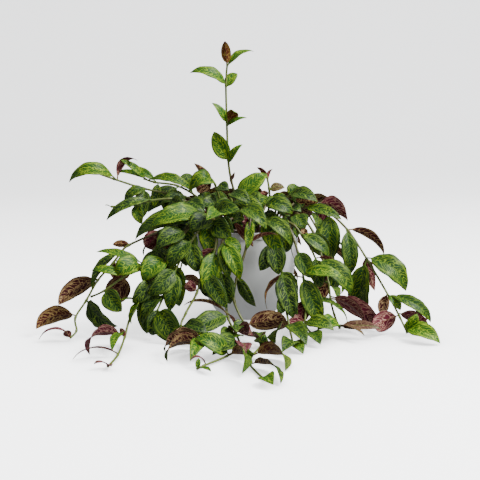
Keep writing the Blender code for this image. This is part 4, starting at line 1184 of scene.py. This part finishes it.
class Growth:
    """Gathers the points, faces and attributes of one leafy stem into a single mesh."""

    def __init__(self) -> None:
        """Start with nothing."""
        self.points: list[np.ndarray] = []
        self.place: list[np.ndarray] = []
        self.share: list[np.ndarray] = []
        self.tone: list[np.ndarray] = []
        self.faces: list[tuple[int, ...]] = []
        self.skins: list[int] = []
        self.count = 0

    def add_points(self, points: np.ndarray, place: np.ndarray, share: np.ndarray,
                   tone: tuple[float, float, float]) -> int:
        """Add points with their attributes and return the first one's number.

        Args:
            points: places in metres, a row for each point.
            place: place on the leaf in mm, and the leaf's seed, a row for each point.
            share: shares along, across and of petiole, a row for each point.
            tone: the leaf's freshness, maroon and pinkness.

        Returns:
            The number of the first of these points.
        """
        start = self.count
        self.points.append(points)
        self.place.append(place)
        self.share.append(share)
        self.tone.append(np.tile(tone, (len(points), 1)))
        self.count += len(points)
        return start

    def add_leaf(self, blade: LeafBlade, tone: tuple[float, float, float]) -> None:
        """Skin the leaf's rings: the upper side with slot 0, the lower with slot 1.

        Args:
            blade: the leaf, already shaped.
            tone: its freshness, maroon and pinkness.
        """
        points, place, share = blade.rings()
        rows, ring = points.shape[:2]
        top = len(blade.across) - 1
        start = self.add_points(points.reshape(-1, 3), place.reshape(-1, 3), share.reshape(-1, 3), tone)
        ends, _ = blade.line(np.array((0.0, 1.0)))
        ends[1] = points[-1].mean(axis=0) + (ends[1] - blade.line(np.array((blade.last_row,)))[0][0])
        length = blade.length / MM
        caps = self.add_points(ends, np.array(((0, 0, blade.seed), (length, 0, blade.seed))),
                               np.array(((0, 0, 1), (1, 0, 0))), tone)
        for row in range(rows - 1):
            low, high = start + row * ring, start + (row + 1) * ring
            for k in range(ring):
                n = (k + 1) % ring
                self.faces.append((low + k, low + n, high + n, high + k))
                self.skins.append(0 if k < top else 1)
        last = start + (rows - 1) * ring
        for k in range(ring):
            n = (k + 1) % ring
            self.faces.append((start + n, start + k, caps))
            self.faces.append((last + k, last + n, caps + 1))
            self.skins += [0 if k < top else 1] * 2

    def add_stem(self, tube: bpy.types.Mesh) -> None:
        """Add a tube mesh with slot 2; its share attribute tells how far along each point is.

        Args:
            tube: the round stem.
        """
        total = len(tube.vertices)
        points = np.empty(total * 3)
        tube.vertices.foreach_get("co", points)
        far = np.empty(total)
        tube.attributes["stem_share"].data.foreach_get("value", far)
        share = np.stack((far, np.zeros(total), np.ones(total)), axis=1)
        start = self.add_points(points.reshape(-1, 3), np.zeros((total, 3)), share, (0, 0, 0))
        for polygon in tube.polygons:
            self.faces.append(tuple(start + index for index in polygon.vertices))
            self.skins.append(2)

    def mesh(self, name: str, floor: float) -> bpy.types.Mesh:
        """The finished mesh, with nothing lower than the floor.

        Args:
            name: the mesh's name.
            floor: the lowest height that a point may have.

        Returns:
            The mesh with smooth faces, material numbers and its three attributes.
        """
        points = np.concatenate(self.points)
        points[:, 2] = np.maximum(points[:, 2], floor)
        made = bpy.data.meshes.new(name)
        made.from_pydata(points.tolist(), [], self.faces)
        made.polygons.foreach_set("material_index", self.skins)
        for label, parts in (("leaf_mm", self.place), ("leaf_place", self.share),
                             ("leaf_tone", self.tone)):
            layer = made.attributes.new(label, "FLOAT_VECTOR", "POINT")
            layer.data.foreach_set("vector", np.concatenate(parts).astype(np.float32).ravel())
        made.update()
        made.shade_smooth()
        return made


@dataclass
class LeafyStem:
    """One stem with all that grows on it, made round the route and the leaves of its CAD node."""

    plan: StemPlan
    tube_tree: bpy.types.NodeTree
    skins: list[bpy.types.Material]

    radius_mm: float = 1.7
    taper: float = 0.74
    fullness: float = 1.08
    solid_span_mm: float = 46.0
    step_mm: float = 2.5
    sides: int = 10
    soil_level_mm: float = 114.0
    root_depth_mm: float = 18.0
    rise_mm: float = 10.0
    axil_mm: float = 2.7
    knuckle: float = 0.35
    knuckle_mm: float = 2.6
    match_mm: float = 0.75
    growth: float = 1.06
    floor_mm: float = 0.25
    sizes: tuple[float, ...] = (1.0, 0.88, 0.76, 0.62)
    turns: tuple[int, ...] = (0, 7, -7, 14, -14, 22, -22, 32, -32, 45, -45)
    tilts: tuple[int, ...] = (0, 7, -7, 14, -14, 22, -22, 32, -32)
    size_cost: float = 90.0
    fresher_tip: float = 0.35
    tone_spread: tuple[float, float] = (-0.12, 0.18)

    def route(self, span_mm: float) -> list[Vector]:
        """The stem's centre line in metres, on a Catmull-Rom curve through its joints.

        Args:
            span_mm: the most that two points may lie apart.

        Returns:
            The points from the root to the tip.
        """
        x, y = self.plan.hole
        root = Vector((x, y, self.soil_level_mm - self.root_depth_mm)) * MM
        points = [Vector((x, y, self.soil_level_mm + self.rise_mm)) * MM]
        points += [Vector(stop.at) * MM for stop in self.plan.joints]
        made = [root]
        last = len(points) - 1
        for index in range(last):
            before = points[max(index - 1, 0)]
            start, end = points[index], points[index + 1]
            after = points[min(index + 2, last)]
            steps = 1 + int((end - start).length / (span_mm * MM))
            for step in range(steps):
                t = step / steps
                made.append(0.5 * ((2 * start) + (end - before) * t
                                   + (2 * before - 5 * start + 4 * end - after) * t * t
                                   + (3 * start - before - 3 * end + after) * t ** 3))
        made.append(points[-1])
        return made

    def tube(self) -> bpy.types.Mesh:
        """The round stem, thicker at its joints and thinner towards its tip.

        Returns:
            The stem's mesh, with a share attribute that rises from 0 at the root to 1 at the tip.
        """
        line = self.route(self.step_mm)
        stops = [Vector(stop.at) * MM for stop in self.plan.joints]
        mesh = bpy.data.meshes.new("path")
        mesh.from_pydata(line, [(i, i + 1) for i in range(len(line) - 1)], [])
        radius = mesh.attributes.new("stem_radius", "FLOAT", "POINT")
        share = mesh.attributes.new("stem_share", "FLOAT", "POINT")
        for index, point in enumerate(line):
            far = index / (len(line) - 1)
            near = min((point - stop).length for stop in stops) / (self.knuckle_mm * MM)
            swell = 1 + self.knuckle * math.exp(-near * near)
            slim = (1 - (1 - self.taper) * far) * self.fullness
            radius.data[index].value = self.radius_mm * MM * slim * swell
            share.data[index].value = far
        return run_tree(self.tube_tree, mesh, {"Sides": self.sides, "Skin": self.skins[2]})

    def base(self, at: Vector, order: int) -> Vector:
        """Where a leaf leaves the stem: just short of its joint, one of a pair below the other.

        Args:
            at: the joint, in metres.
            order: 0 for the first leaf of the joint, 1 for the next.

        Returns:
            The place in metres.
        """
        line = self.route(self.solid_span_mm)
        index = min(range(len(line)), key=lambda item: (line[item] - at).length)
        back = (line[index - 1] - at).normalized()
        return at + back * self.axil_mm * MM * (order + 1)

    def placed(self, base: Vector, leaf: Leaf, solid: KDTree,
               draw: random.Random) -> LeafBlade | None:
        """The leaf as its solid was placed: the first small change whose tip lies on the node.

        Args:
            base: where the leaf leaves the stem.
            leaf: the leaf as designed.
            solid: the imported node's points.
            draw: this leaf's own random draws.

        Returns:
            The leaf, or None where the node has no such leaf.
        """
        changes = itertools.product(self.turns, self.tilts, self.sizes)
        order = sorted(changes, key=lambda c: abs(c[0]) + abs(c[1]) + self.size_cost * (1 - c[2]))
        for turn, tilt, size in order:
            blade = LeafBlade(base, leaf, turn, tilt, size * self.plan.vigour * self.growth, draw)
            if solid.find(blade.tip())[2] < self.match_mm * MM:
                blade.shape()
                return blade
        return None

    def tone(self, leaf: Leaf, far: float, draw: random.Random) -> tuple[float, float, float]:
        """The leaf's tone: as named, or fresher towards the stem's tip, and a little varied.

        Args:
            leaf: the leaf's design.
            far: how far along the stem it grows, from 0 to 1.
            draw: this leaf's own random draws.

        Returns:
            Freshness, maroon and pinkness.
        """
        fresh, maroon, pink = (leaf.tone or Tone.MATURE).value
        if leaf.tone is None:
            fresh += self.fresher_tip * far ** 2
        vary = draw.uniform(*self.tone_spread)
        return (min(max(fresh + vary, 0), 1), min(max(maroon - vary, 0), 1), pink)

    def build(self) -> bpy.types.Object:
        """Make the piece that stands for the whole CAD node.

        Returns:
            The finished piece.
        """
        name = self.plan.name
        packed = frame["nodes"][name].data.vertices
        solid = KDTree(len(packed))
        for index, vertex in enumerate(packed):
            solid.insert(vertex.co, index)
        solid.balance()
        growth = Growth()
        growth.add_stem(self.tube())
        missing = 0
        for number, stop in enumerate(self.plan.joints):
            at = Vector(stop.at) * MM
            for order, leaf in enumerate(stop.leaves):
                draw = random.Random(f"{name}.{number}.{order}")
                blade = self.placed(self.base(at, order), leaf, solid, draw)
                if blade is None:
                    missing += 1
                    continue
                growth.add_leaf(blade, self.tone(leaf, number / len(self.plan.joints), draw))
        for number, (owner, spot, leaf) in enumerate(BUDS):
            if owner == name:
                draw = random.Random(f"bud.{number}")
                bud = LeafBlade(Vector(spot) * MM, leaf, 0, 0, 1.0, draw)
                bud.shape()
                growth.add_leaf(bud, self.tone(leaf, 1.0, draw))
        if missing:
            log.info("%s: %d leaves not found on the solid", name, missing)
        mesh = growth.mesh(name, self.floor_mm * MM)
        return piece("leafy_" + name, mesh, self.skins, name)


@dataclass
class Pot:
    """The turned wall of the pot: flat foot, swelling side, rolled lip, drain holes."""

    height_mm: float = 130.0
    rim_mm: float = 75.0
    foot_mm: float = 38.5
    wall_mm: float = 2.2
    floor_mm: float = 3.0
    lip_step_mm: float = 1.2
    lip_mm: float = 9.0
    edge_mm: float = 1.0
    swell: float = 2.9
    rings: int = 36
    sides: int = 128
    drains: int = 6
    drain_ring_mm: float = 22.0
    drain_mm: float = 4.0
    recess_mm: float = 0.7
    foot_ring_mm: float = 4.5
    foot_slope_mm: float = 0.6
    small_edge: float = 0.6
    foot_edge: float = 0.2
    lip_end: float = -80
    floor_round_mm: tuple[float, float] = (3, 1.5)
    bore_sides: int = 24
    bore_mm: float = 20.0
    merge_distance: float = 0.00001
    crease: float = 40

    def side(self, height: float) -> float:
        """Outer radius in mm at a height in mm.

        Args:
            height: the height above the foot.

        Returns:
            The radius.
        """
        share = min(max(height / self.height_mm, 0.0), 1.0)
        grown = 1 - (1 - share) ** self.swell
        return self.foot_mm + (self.rim_mm - self.lip_step_mm - self.foot_mm) * grown

    def arc(self, centre: tuple[float, float], radius: float, start: float,
            end: float) -> list[tuple[float, float]]:
        """Points of a small rounding, between two angles in degrees.

        Args:
            centre: the rounding's centre, as radius and height.
            radius: its radius.
            start: the angle of its first point.
            end: the angle of its last point.

        Returns:
            Five points, as radius and height.
        """
        angles = [math.radians(start + (end - start) * k / 4) for k in range(5)]
        return [(centre[0] + radius * math.cos(a), centre[1] + radius * math.sin(a)) for a in angles]

    def profile(self) -> list[tuple[float, float]]:
        """The closed outline of the wall in mm, down the outside and up the inside.

        Returns:
            The points, as radius and height.
        """
        top, edge = self.height_mm, self.edge_mm
        small = edge * self.small_edge
        lip_start = top - self.lip_mm
        inner_lip = self.rim_mm - self.wall_mm - self.lip_step_mm
        outline = self.arc((self.rim_mm - edge, top - edge), edge, 90, 0)
        outline += self.arc((self.rim_mm - small, lip_start + small), small, 0, self.lip_end)
        heights = np.linspace(lip_start - small, edge, self.rings)
        outline += [(self.side(h), h) for h in heights]
        outline += self.arc((self.foot_mm - edge * self.foot_edge, edge), edge, 0, -90)
        ring = self.foot_mm - self.foot_ring_mm
        round_in, round_up = self.floor_round_mm
        outline += [(ring, 0.0), (ring - self.foot_slope_mm, self.recess_mm), (0.0, self.recess_mm)]
        outline += [(0.0, self.floor_mm), (self.foot_mm - round_in, self.floor_mm)]
        outline += [(self.side(h) - self.wall_mm, h) for h in
                    np.linspace(self.floor_mm + round_up, lip_start, self.rings)]
        outline += self.arc((inner_lip + small, top - small), small, 180, 90)
        return outline

    def build(self, skin: bpy.types.Material) -> bpy.types.Object:
        """Turn the outline, bore the drain holes and make the piece.

        Args:
            skin: the pot's material.

        Returns:
            The finished pot.
        """
        outline = self.profile()
        mesh = bpy.data.meshes.new("pot_outline")
        count = len(outline)
        on_axis = [k for k in range(count) if outline[k][0] == 0.0]
        edges = [(k, (k + 1) % count) for k in range(count)
                 if not (k in on_axis and (k + 1) % count in on_axis)]
        mesh.from_pydata([(r * MM, 0, z * MM) for r, z in outline], edges, [])
        wall = linked("pot_wall", mesh)
        screw = wall.modifiers.new("turn", "SCREW")
        screw.steps = screw.render_steps = self.sides
        screw.use_merge_vertices = True
        screw.merge_threshold = self.merge_distance
        bores = bpy.data.collections.new("drain_bores")
        bpy.context.scene.collection.children.link(bores)
        for k in range(self.drains):
            angle = math.tau * (k + 0.5) / self.drains
            bore = bpy.data.meshes.new("bore")
            shape = bmesh.new()
            bmesh.ops.create_cone(shape, cap_ends=True, segments=self.bore_sides,
                                  radius1=self.drain_mm * MM, radius2=self.drain_mm * MM,
                                  depth=self.bore_mm * MM)
            bmesh.ops.translate(shape, verts=shape.verts,
                                vec=Vector((math.cos(angle), math.sin(angle), 0))
                                * self.drain_ring_mm * MM)
            shape.to_mesh(bore)
            shape.free()
            bores.objects.link(bpy.data.objects.new("bore", bore))
        boolean = wall.modifiers.new("drains", "BOOLEAN")
        boolean.operand_type = "COLLECTION"
        boolean.collection = bores
        made = evaluated_mesh(wall)
        for bore in list(bores.objects):
            bpy.data.objects.remove(bore, do_unlink=True)
        bpy.data.collections.remove(bores)
        shape = bmesh.new()
        shape.from_mesh(made)
        bmesh.ops.recalc_face_normals(shape, faces=shape.faces)
        shape.to_mesh(made)
        shape.free()
        made.shade_smooth()
        made.set_sharp_from_angle(angle=math.radians(self.crease))
        return piece("white_pot", made, [skin], "pot")


@dataclass(frozen=True)
class Strewing:
    """Loose grains on the soil: how many on a square metre, and their radii."""

    name: str
    finish: LooseGrains
    per_m2: float
    radii_mm: tuple[float, float]
    seed: int


@dataclass
class SoilBed:
    """The potting mix: an uneven crumbly top in the pot, strewn with crumbs and perlite."""

    pot: Pot
    level_mm: float = 114.0
    crown_mm: float = 4.0
    gap_mm: float = 1.5
    rings: int = 22
    sides: int = 96
    seed: int = 5
    waves: int = 14
    wave_rad_per_m: tuple[float, float] = (240, 960)
    wave_gain: float = 2.4
    lump_mm: float = 1.1
    lower_rings_mm: tuple[float, ...] = (96, 76, 56, 36, 18, 6)
    underside_mm: float = 4.0
    facing_up: float = 0.5
    strewn: tuple[Strewing, ...] = (Strewing("soil_crumbs", PEAT, 150000.0, (0.5, 2.1), 3),
                                    Strewing("perlite_grains", PERLITE, 9000.0, (0.7, 1.7), 8))

    def surface(self) -> bpy.types.Mesh:
        """The closed body of the soil, its top raised into low lumps.

        Returns:
            The soil's mesh.
        """
        draw = random.Random(self.seed)
        waves = [(draw.uniform(*self.wave_rad_per_m), draw.uniform(0, math.tau),
                  draw.uniform(0, math.tau)) for _ in range(self.waves)]
        edge = self.pot.side(self.level_mm) - self.pot.wall_mm - self.gap_mm
        points, faces = [(0.0, 0.0, (self.level_mm + self.crown_mm) * MM)], []
        for ring in range(1, self.rings + 1):
            far = ring / self.rings
            for side in range(self.sides):
                angle = math.tau * side / self.sides
                x, y = far * edge * MM * math.cos(angle), far * edge * MM * math.sin(angle)
                lump = sum(math.sin((x * math.cos(way) + y * math.sin(way)) * rate + phase)
                           for rate, way, phase in waves) / len(waves) * self.wave_gain
                height = self.level_mm + self.crown_mm * (1 - far ** 2) + lump * self.lump_mm
                points.append((x, y, height * MM))
        foot = [(self.pot.side(h) - self.pot.wall_mm - self.gap_mm, h) for h in self.lower_rings_mm]
        for radius, height in foot:
            points += [(radius * MM * math.cos(math.tau * k / self.sides),
                        radius * MM * math.sin(math.tau * k / self.sides), height * MM)
                       for k in range(self.sides)]
        points.append((0.0, 0.0, self.underside_mm * MM))
        total = self.rings + len(foot)
        for side in range(self.sides):
            after = (side + 1) % self.sides
            faces.append((0, 1 + side, 1 + after))
            for ring in range(total - 1):
                low, high = 1 + ring * self.sides, 1 + (ring + 1) * self.sides
                faces.append((low + side, high + side, high + after, low + after))
            last = 1 + (total - 1) * self.sides
            faces.append((last + after, last + side, len(points) - 1))
        made = bpy.data.meshes.new("soil")
        made.from_pydata(points, [], faces)
        made.shade_smooth()
        return made

    def top(self, soil: bpy.types.Mesh) -> bpy.types.Mesh:
        """A copy of the soil's upper faces, for strewing.

        Args:
            soil: the soil's mesh.

        Returns:
            The mesh of those faces alone.
        """
        shape = bmesh.new()
        shape.from_mesh(soil)
        low = [face for face in shape.faces if face.normal.z < self.facing_up]
        bmesh.ops.delete(shape, geom=low, context="FACES")
        made = bpy.data.meshes.new("soil_top")
        shape.to_mesh(made)
        shape.free()
        return made

    def build(self, tree: bpy.types.NodeTree) -> None:
        """Make the soil and what lies loose on it.

        Args:
            tree: the geometry tree that strews grains.
        """
        skins = {finish: finish.material() for finish in (PEAT, PERLITE)}
        soil = self.surface()
        piece("potting_mix", soil, [skins[PEAT]], "potting_soil")
        for kind in self.strewn:
            smallest, largest = kind.radii_mm
            skin = skins[kind.finish]
            grains = run_tree(tree, self.top(soil), {"Density": kind.per_m2, "Smallest": smallest * MM,
                                                     "Largest": largest * MM, "Seed": kind.seed,
                                                     "Grain": skin})
            piece(kind.name, grains, [skin])


@dataclass(frozen=True)
class LitPaper(Finish):
    """Matt white paper, lit through: its glow keeps shadows on it as faint as the photograph's.

    Its glow is painted light: it glows more in front, and less where leaves and the pot cover it
    closely, which paints their soft contact shadows.
    """

    name: str = "matt_white_paper_painted_glow"
    tone: str = "#E9E9E9"
    fibre: str = "#EDEDED"
    fibres_per_m: float = 3.0
    roughness: float = 0.9
    glow: str = "#F4F5F6"
    glow_far: float = 1.95
    glow_front: float = 3.9
    front_at: float = -0.3
    far_at: float = 1.2
    shade_reach: float = 0.15
    most_covered: float = 0.35
    deepest_shade: float = 0.3

    def inputs(self, tree: bpy.types.NodeTree) -> dict:
        """What drives the shader, from the sweep's own coordinates.

        Args:
            tree: the material's tree, which takes the nodes.

        Returns:
            Input name to a value, a socket or a node.
        """
        spot = add(tree, "ShaderNodeTexCoord").outputs["Object"]
        fibre = add(tree, "ShaderNodeTexNoise", {"Vector": spot, "Scale": self.fibres_per_m})
        tint = add(tree, "ShaderNodeMix", {0: fibre, 6: self.tone, 7: self.fibre}, data_type="RGBA")
        depth = add(tree, "ShaderNodeSeparateXYZ", {0: spot}).outputs[1]
        bare = add(tree, "ShaderNodeMapRange", {0: depth, 1: self.front_at, 2: self.far_at,
                                                3: self.glow_front, 4: self.glow_far})
        # Painted contact shadow: ambient occlusion dims the glow where the plant is close above
        cover = add(tree, "ShaderNodeAmbientOcclusion", {"Distance": self.shade_reach}).outputs[1]
        painted_shadow_share = add(tree, "ShaderNodeMapRange", {0: cover, 1: self.most_covered,
                                                      3: self.deepest_shade, 4: 1.0})
        glow = add(tree, "ShaderNodeMath", {0: bare, 1: painted_shadow_share}, operation="MULTIPLY")
        return {"Base Color": tint.outputs[2], "Roughness": self.roughness,
                "Emission Color": self.glow, "Emission Strength": glow}


@dataclass(frozen=True)
class Lamp:
    """A square soft light that looks at the plant: its place and side in metres, its power in watts."""

    name: str
    at: tuple[float, float, float]
    side: float
    watts: float


@dataclass
class Studio:
    """A pale seamless sweep, a wide soft light from the right, a weaker one from the left."""

    camera_at: tuple[float, float, float] = (-0.0085, -1.6495, 0.41127)
    pitch_deg: float = 10.44
    image_px: float = 480.0
    focal_px: float = 1180.0
    sensor_mm: float = 36.0
    sweep_start: float = 1.7
    sweep_radius: float = 1.5
    sweep_steps: int = 24
    floor_reach: float = 14.0
    wall_height: float = 5.0
    lamps: tuple[Lamp, ...] = (Lamp("key_right", (1.5, -0.5, 2.0), 1.1, 120.0),
                               Lamp("fill_left", (-1.8, -1.6, 1.7), 2.0, 7.0),
                               Lamp("bounce_card", (0.75, -1.25, 0.2), 0.8, 6.5))
    aim: tuple[float, float, float] = (0, -0.05, 0.12)
    air: str = "#E6E8EA"
    air_level: float = 0.2
    air_below: float = 0.55
    air_above: float = 0.55

    def sweep(self) -> None:
        """The floor, curving up into a backdrop far behind."""
        line = [(-self.floor_reach, 0.0), (self.sweep_start, 0.0)]
        for k in range(1, self.sweep_steps + 1):
            angle = math.radians(90 * k / self.sweep_steps)
            line.append((self.sweep_start + self.sweep_radius * math.sin(angle),
                         self.sweep_radius * (1 - math.cos(angle))))
        line.append((line[-1][0], self.wall_height))
        points = [(x, y, z) for x in (-self.floor_reach, self.floor_reach) for y, z in line]
        count = len(line)
        faces = [(k, count + k, count + k + 1, k + 1) for k in range(count - 1)]
        mesh = bpy.data.meshes.new("sweep")
        mesh.from_pydata(points, [], faces)
        mesh.shade_smooth()
        mesh.materials.append(LitPaper().material())
        floor = linked("studio_sweep", mesh)
        # The sweep is seen and takes shadows, but its glow doesn't wash out the plant
        floor.visible_diffuse = False
        floor.visible_glossy = False

    def light(self, lamp: Lamp) -> None:
        """Set up one soft light.

        Args:
            lamp: its place, size and power.
        """
        light = bpy.data.lights.new(lamp.name, "AREA")
        light.size = lamp.side
        light.energy = lamp.watts
        made = linked(lamp.name, light)
        made.location = lamp.at
        made.rotation_euler = (Vector(self.aim) - Vector(lamp.at)).to_track_quat("-Z", "Y").to_euler()

    def camera(self) -> None:
        """The camera at the photograph's viewing angle."""
        lens = bpy.data.cameras.new("camera")
        lens.sensor_width = self.sensor_mm
        lens.lens = self.sensor_mm * self.focal_px / self.image_px
        made = linked("camera", lens)
        made.location = self.camera_at
        made.rotation_euler = (math.radians(90 - self.pitch_deg), 0, 0)
        bpy.context.scene.camera = made

    def world(self) -> None:
        """The room's own light: soft from above, and thrown back from the pale floor below."""
        world = bpy.data.worlds.new("studio_air")
        bpy.context.scene.world = world
        world.use_nodes = True
        tree = world.node_tree
        tree.nodes.clear()
        way = add(tree, "ShaderNodeTexCoord").outputs["Generated"]
        height = add(tree, "ShaderNodeSeparateXYZ", {0: way}).outputs[2]
        above = add(tree, "ShaderNodeMapRange", {0: height, 1: 0.0, 2: 1.0, 3: self.air_level,
                                                 4: self.air_above})
        below = add(tree, "ShaderNodeMapRange", {0: height, 1: -1.0, 2: 0.0, 3: self.air_below,
                                                 4: self.air_level})
        glow = add(tree, "ShaderNodeMath", {0: above, 1: below}, operation="MAXIMUM")
        air = add(tree, "ShaderNodeBackground", {"Color": self.air, "Strength": glow})
        add(tree, "ShaderNodeOutputWorld", {0: air})

    def build(self) -> None:
        """Set up the sweep, the lights and the camera."""
        self.sweep()
        for lamp in self.lamps:
            self.light(lamp)
        self.world()
        self.camera()


@dataclass
class Plant:
    """All leafy stems, those listed and those at the back."""

    habit: RearHabit = field(default_factory=RearHabit)

    def plans(self) -> list[StemPlan]:
        """Every stem's plan.

        Returns:
            The plans listed in the table, then those of the rear stems.
        """
        rear = [StemPlan(name, hole, 1.0, self.habit.joints(index, hole, bearing, reach, end))
                for index, (name, (hole, bearing, reach, end)) in enumerate(REAR_STEMS.items())]
        return PLANS + rear

    def build(self, tube_tree: bpy.types.NodeTree) -> None:
        """Make every leafy stem.

        Args:
            tube_tree: the geometry tree that makes a round stem.
        """
        skins = [UPPER_FACE.material(), LOWER_FACE.material(), StemBark().material()]
        for plan in self.plans():
            LeafyStem(plan, tube_tree, skins).build()


def main() -> None:
    """Build the studio, the pot, the soil and the plant."""
    trees = TreeMaker()
    Studio().build()
    pot = Pot()
    pot.build(MouldedPlastic().material())
    SoilBed(pot).build(trees.scatter())
    Plant().build(trees.tube())


if __name__ == "__main__":
    main()
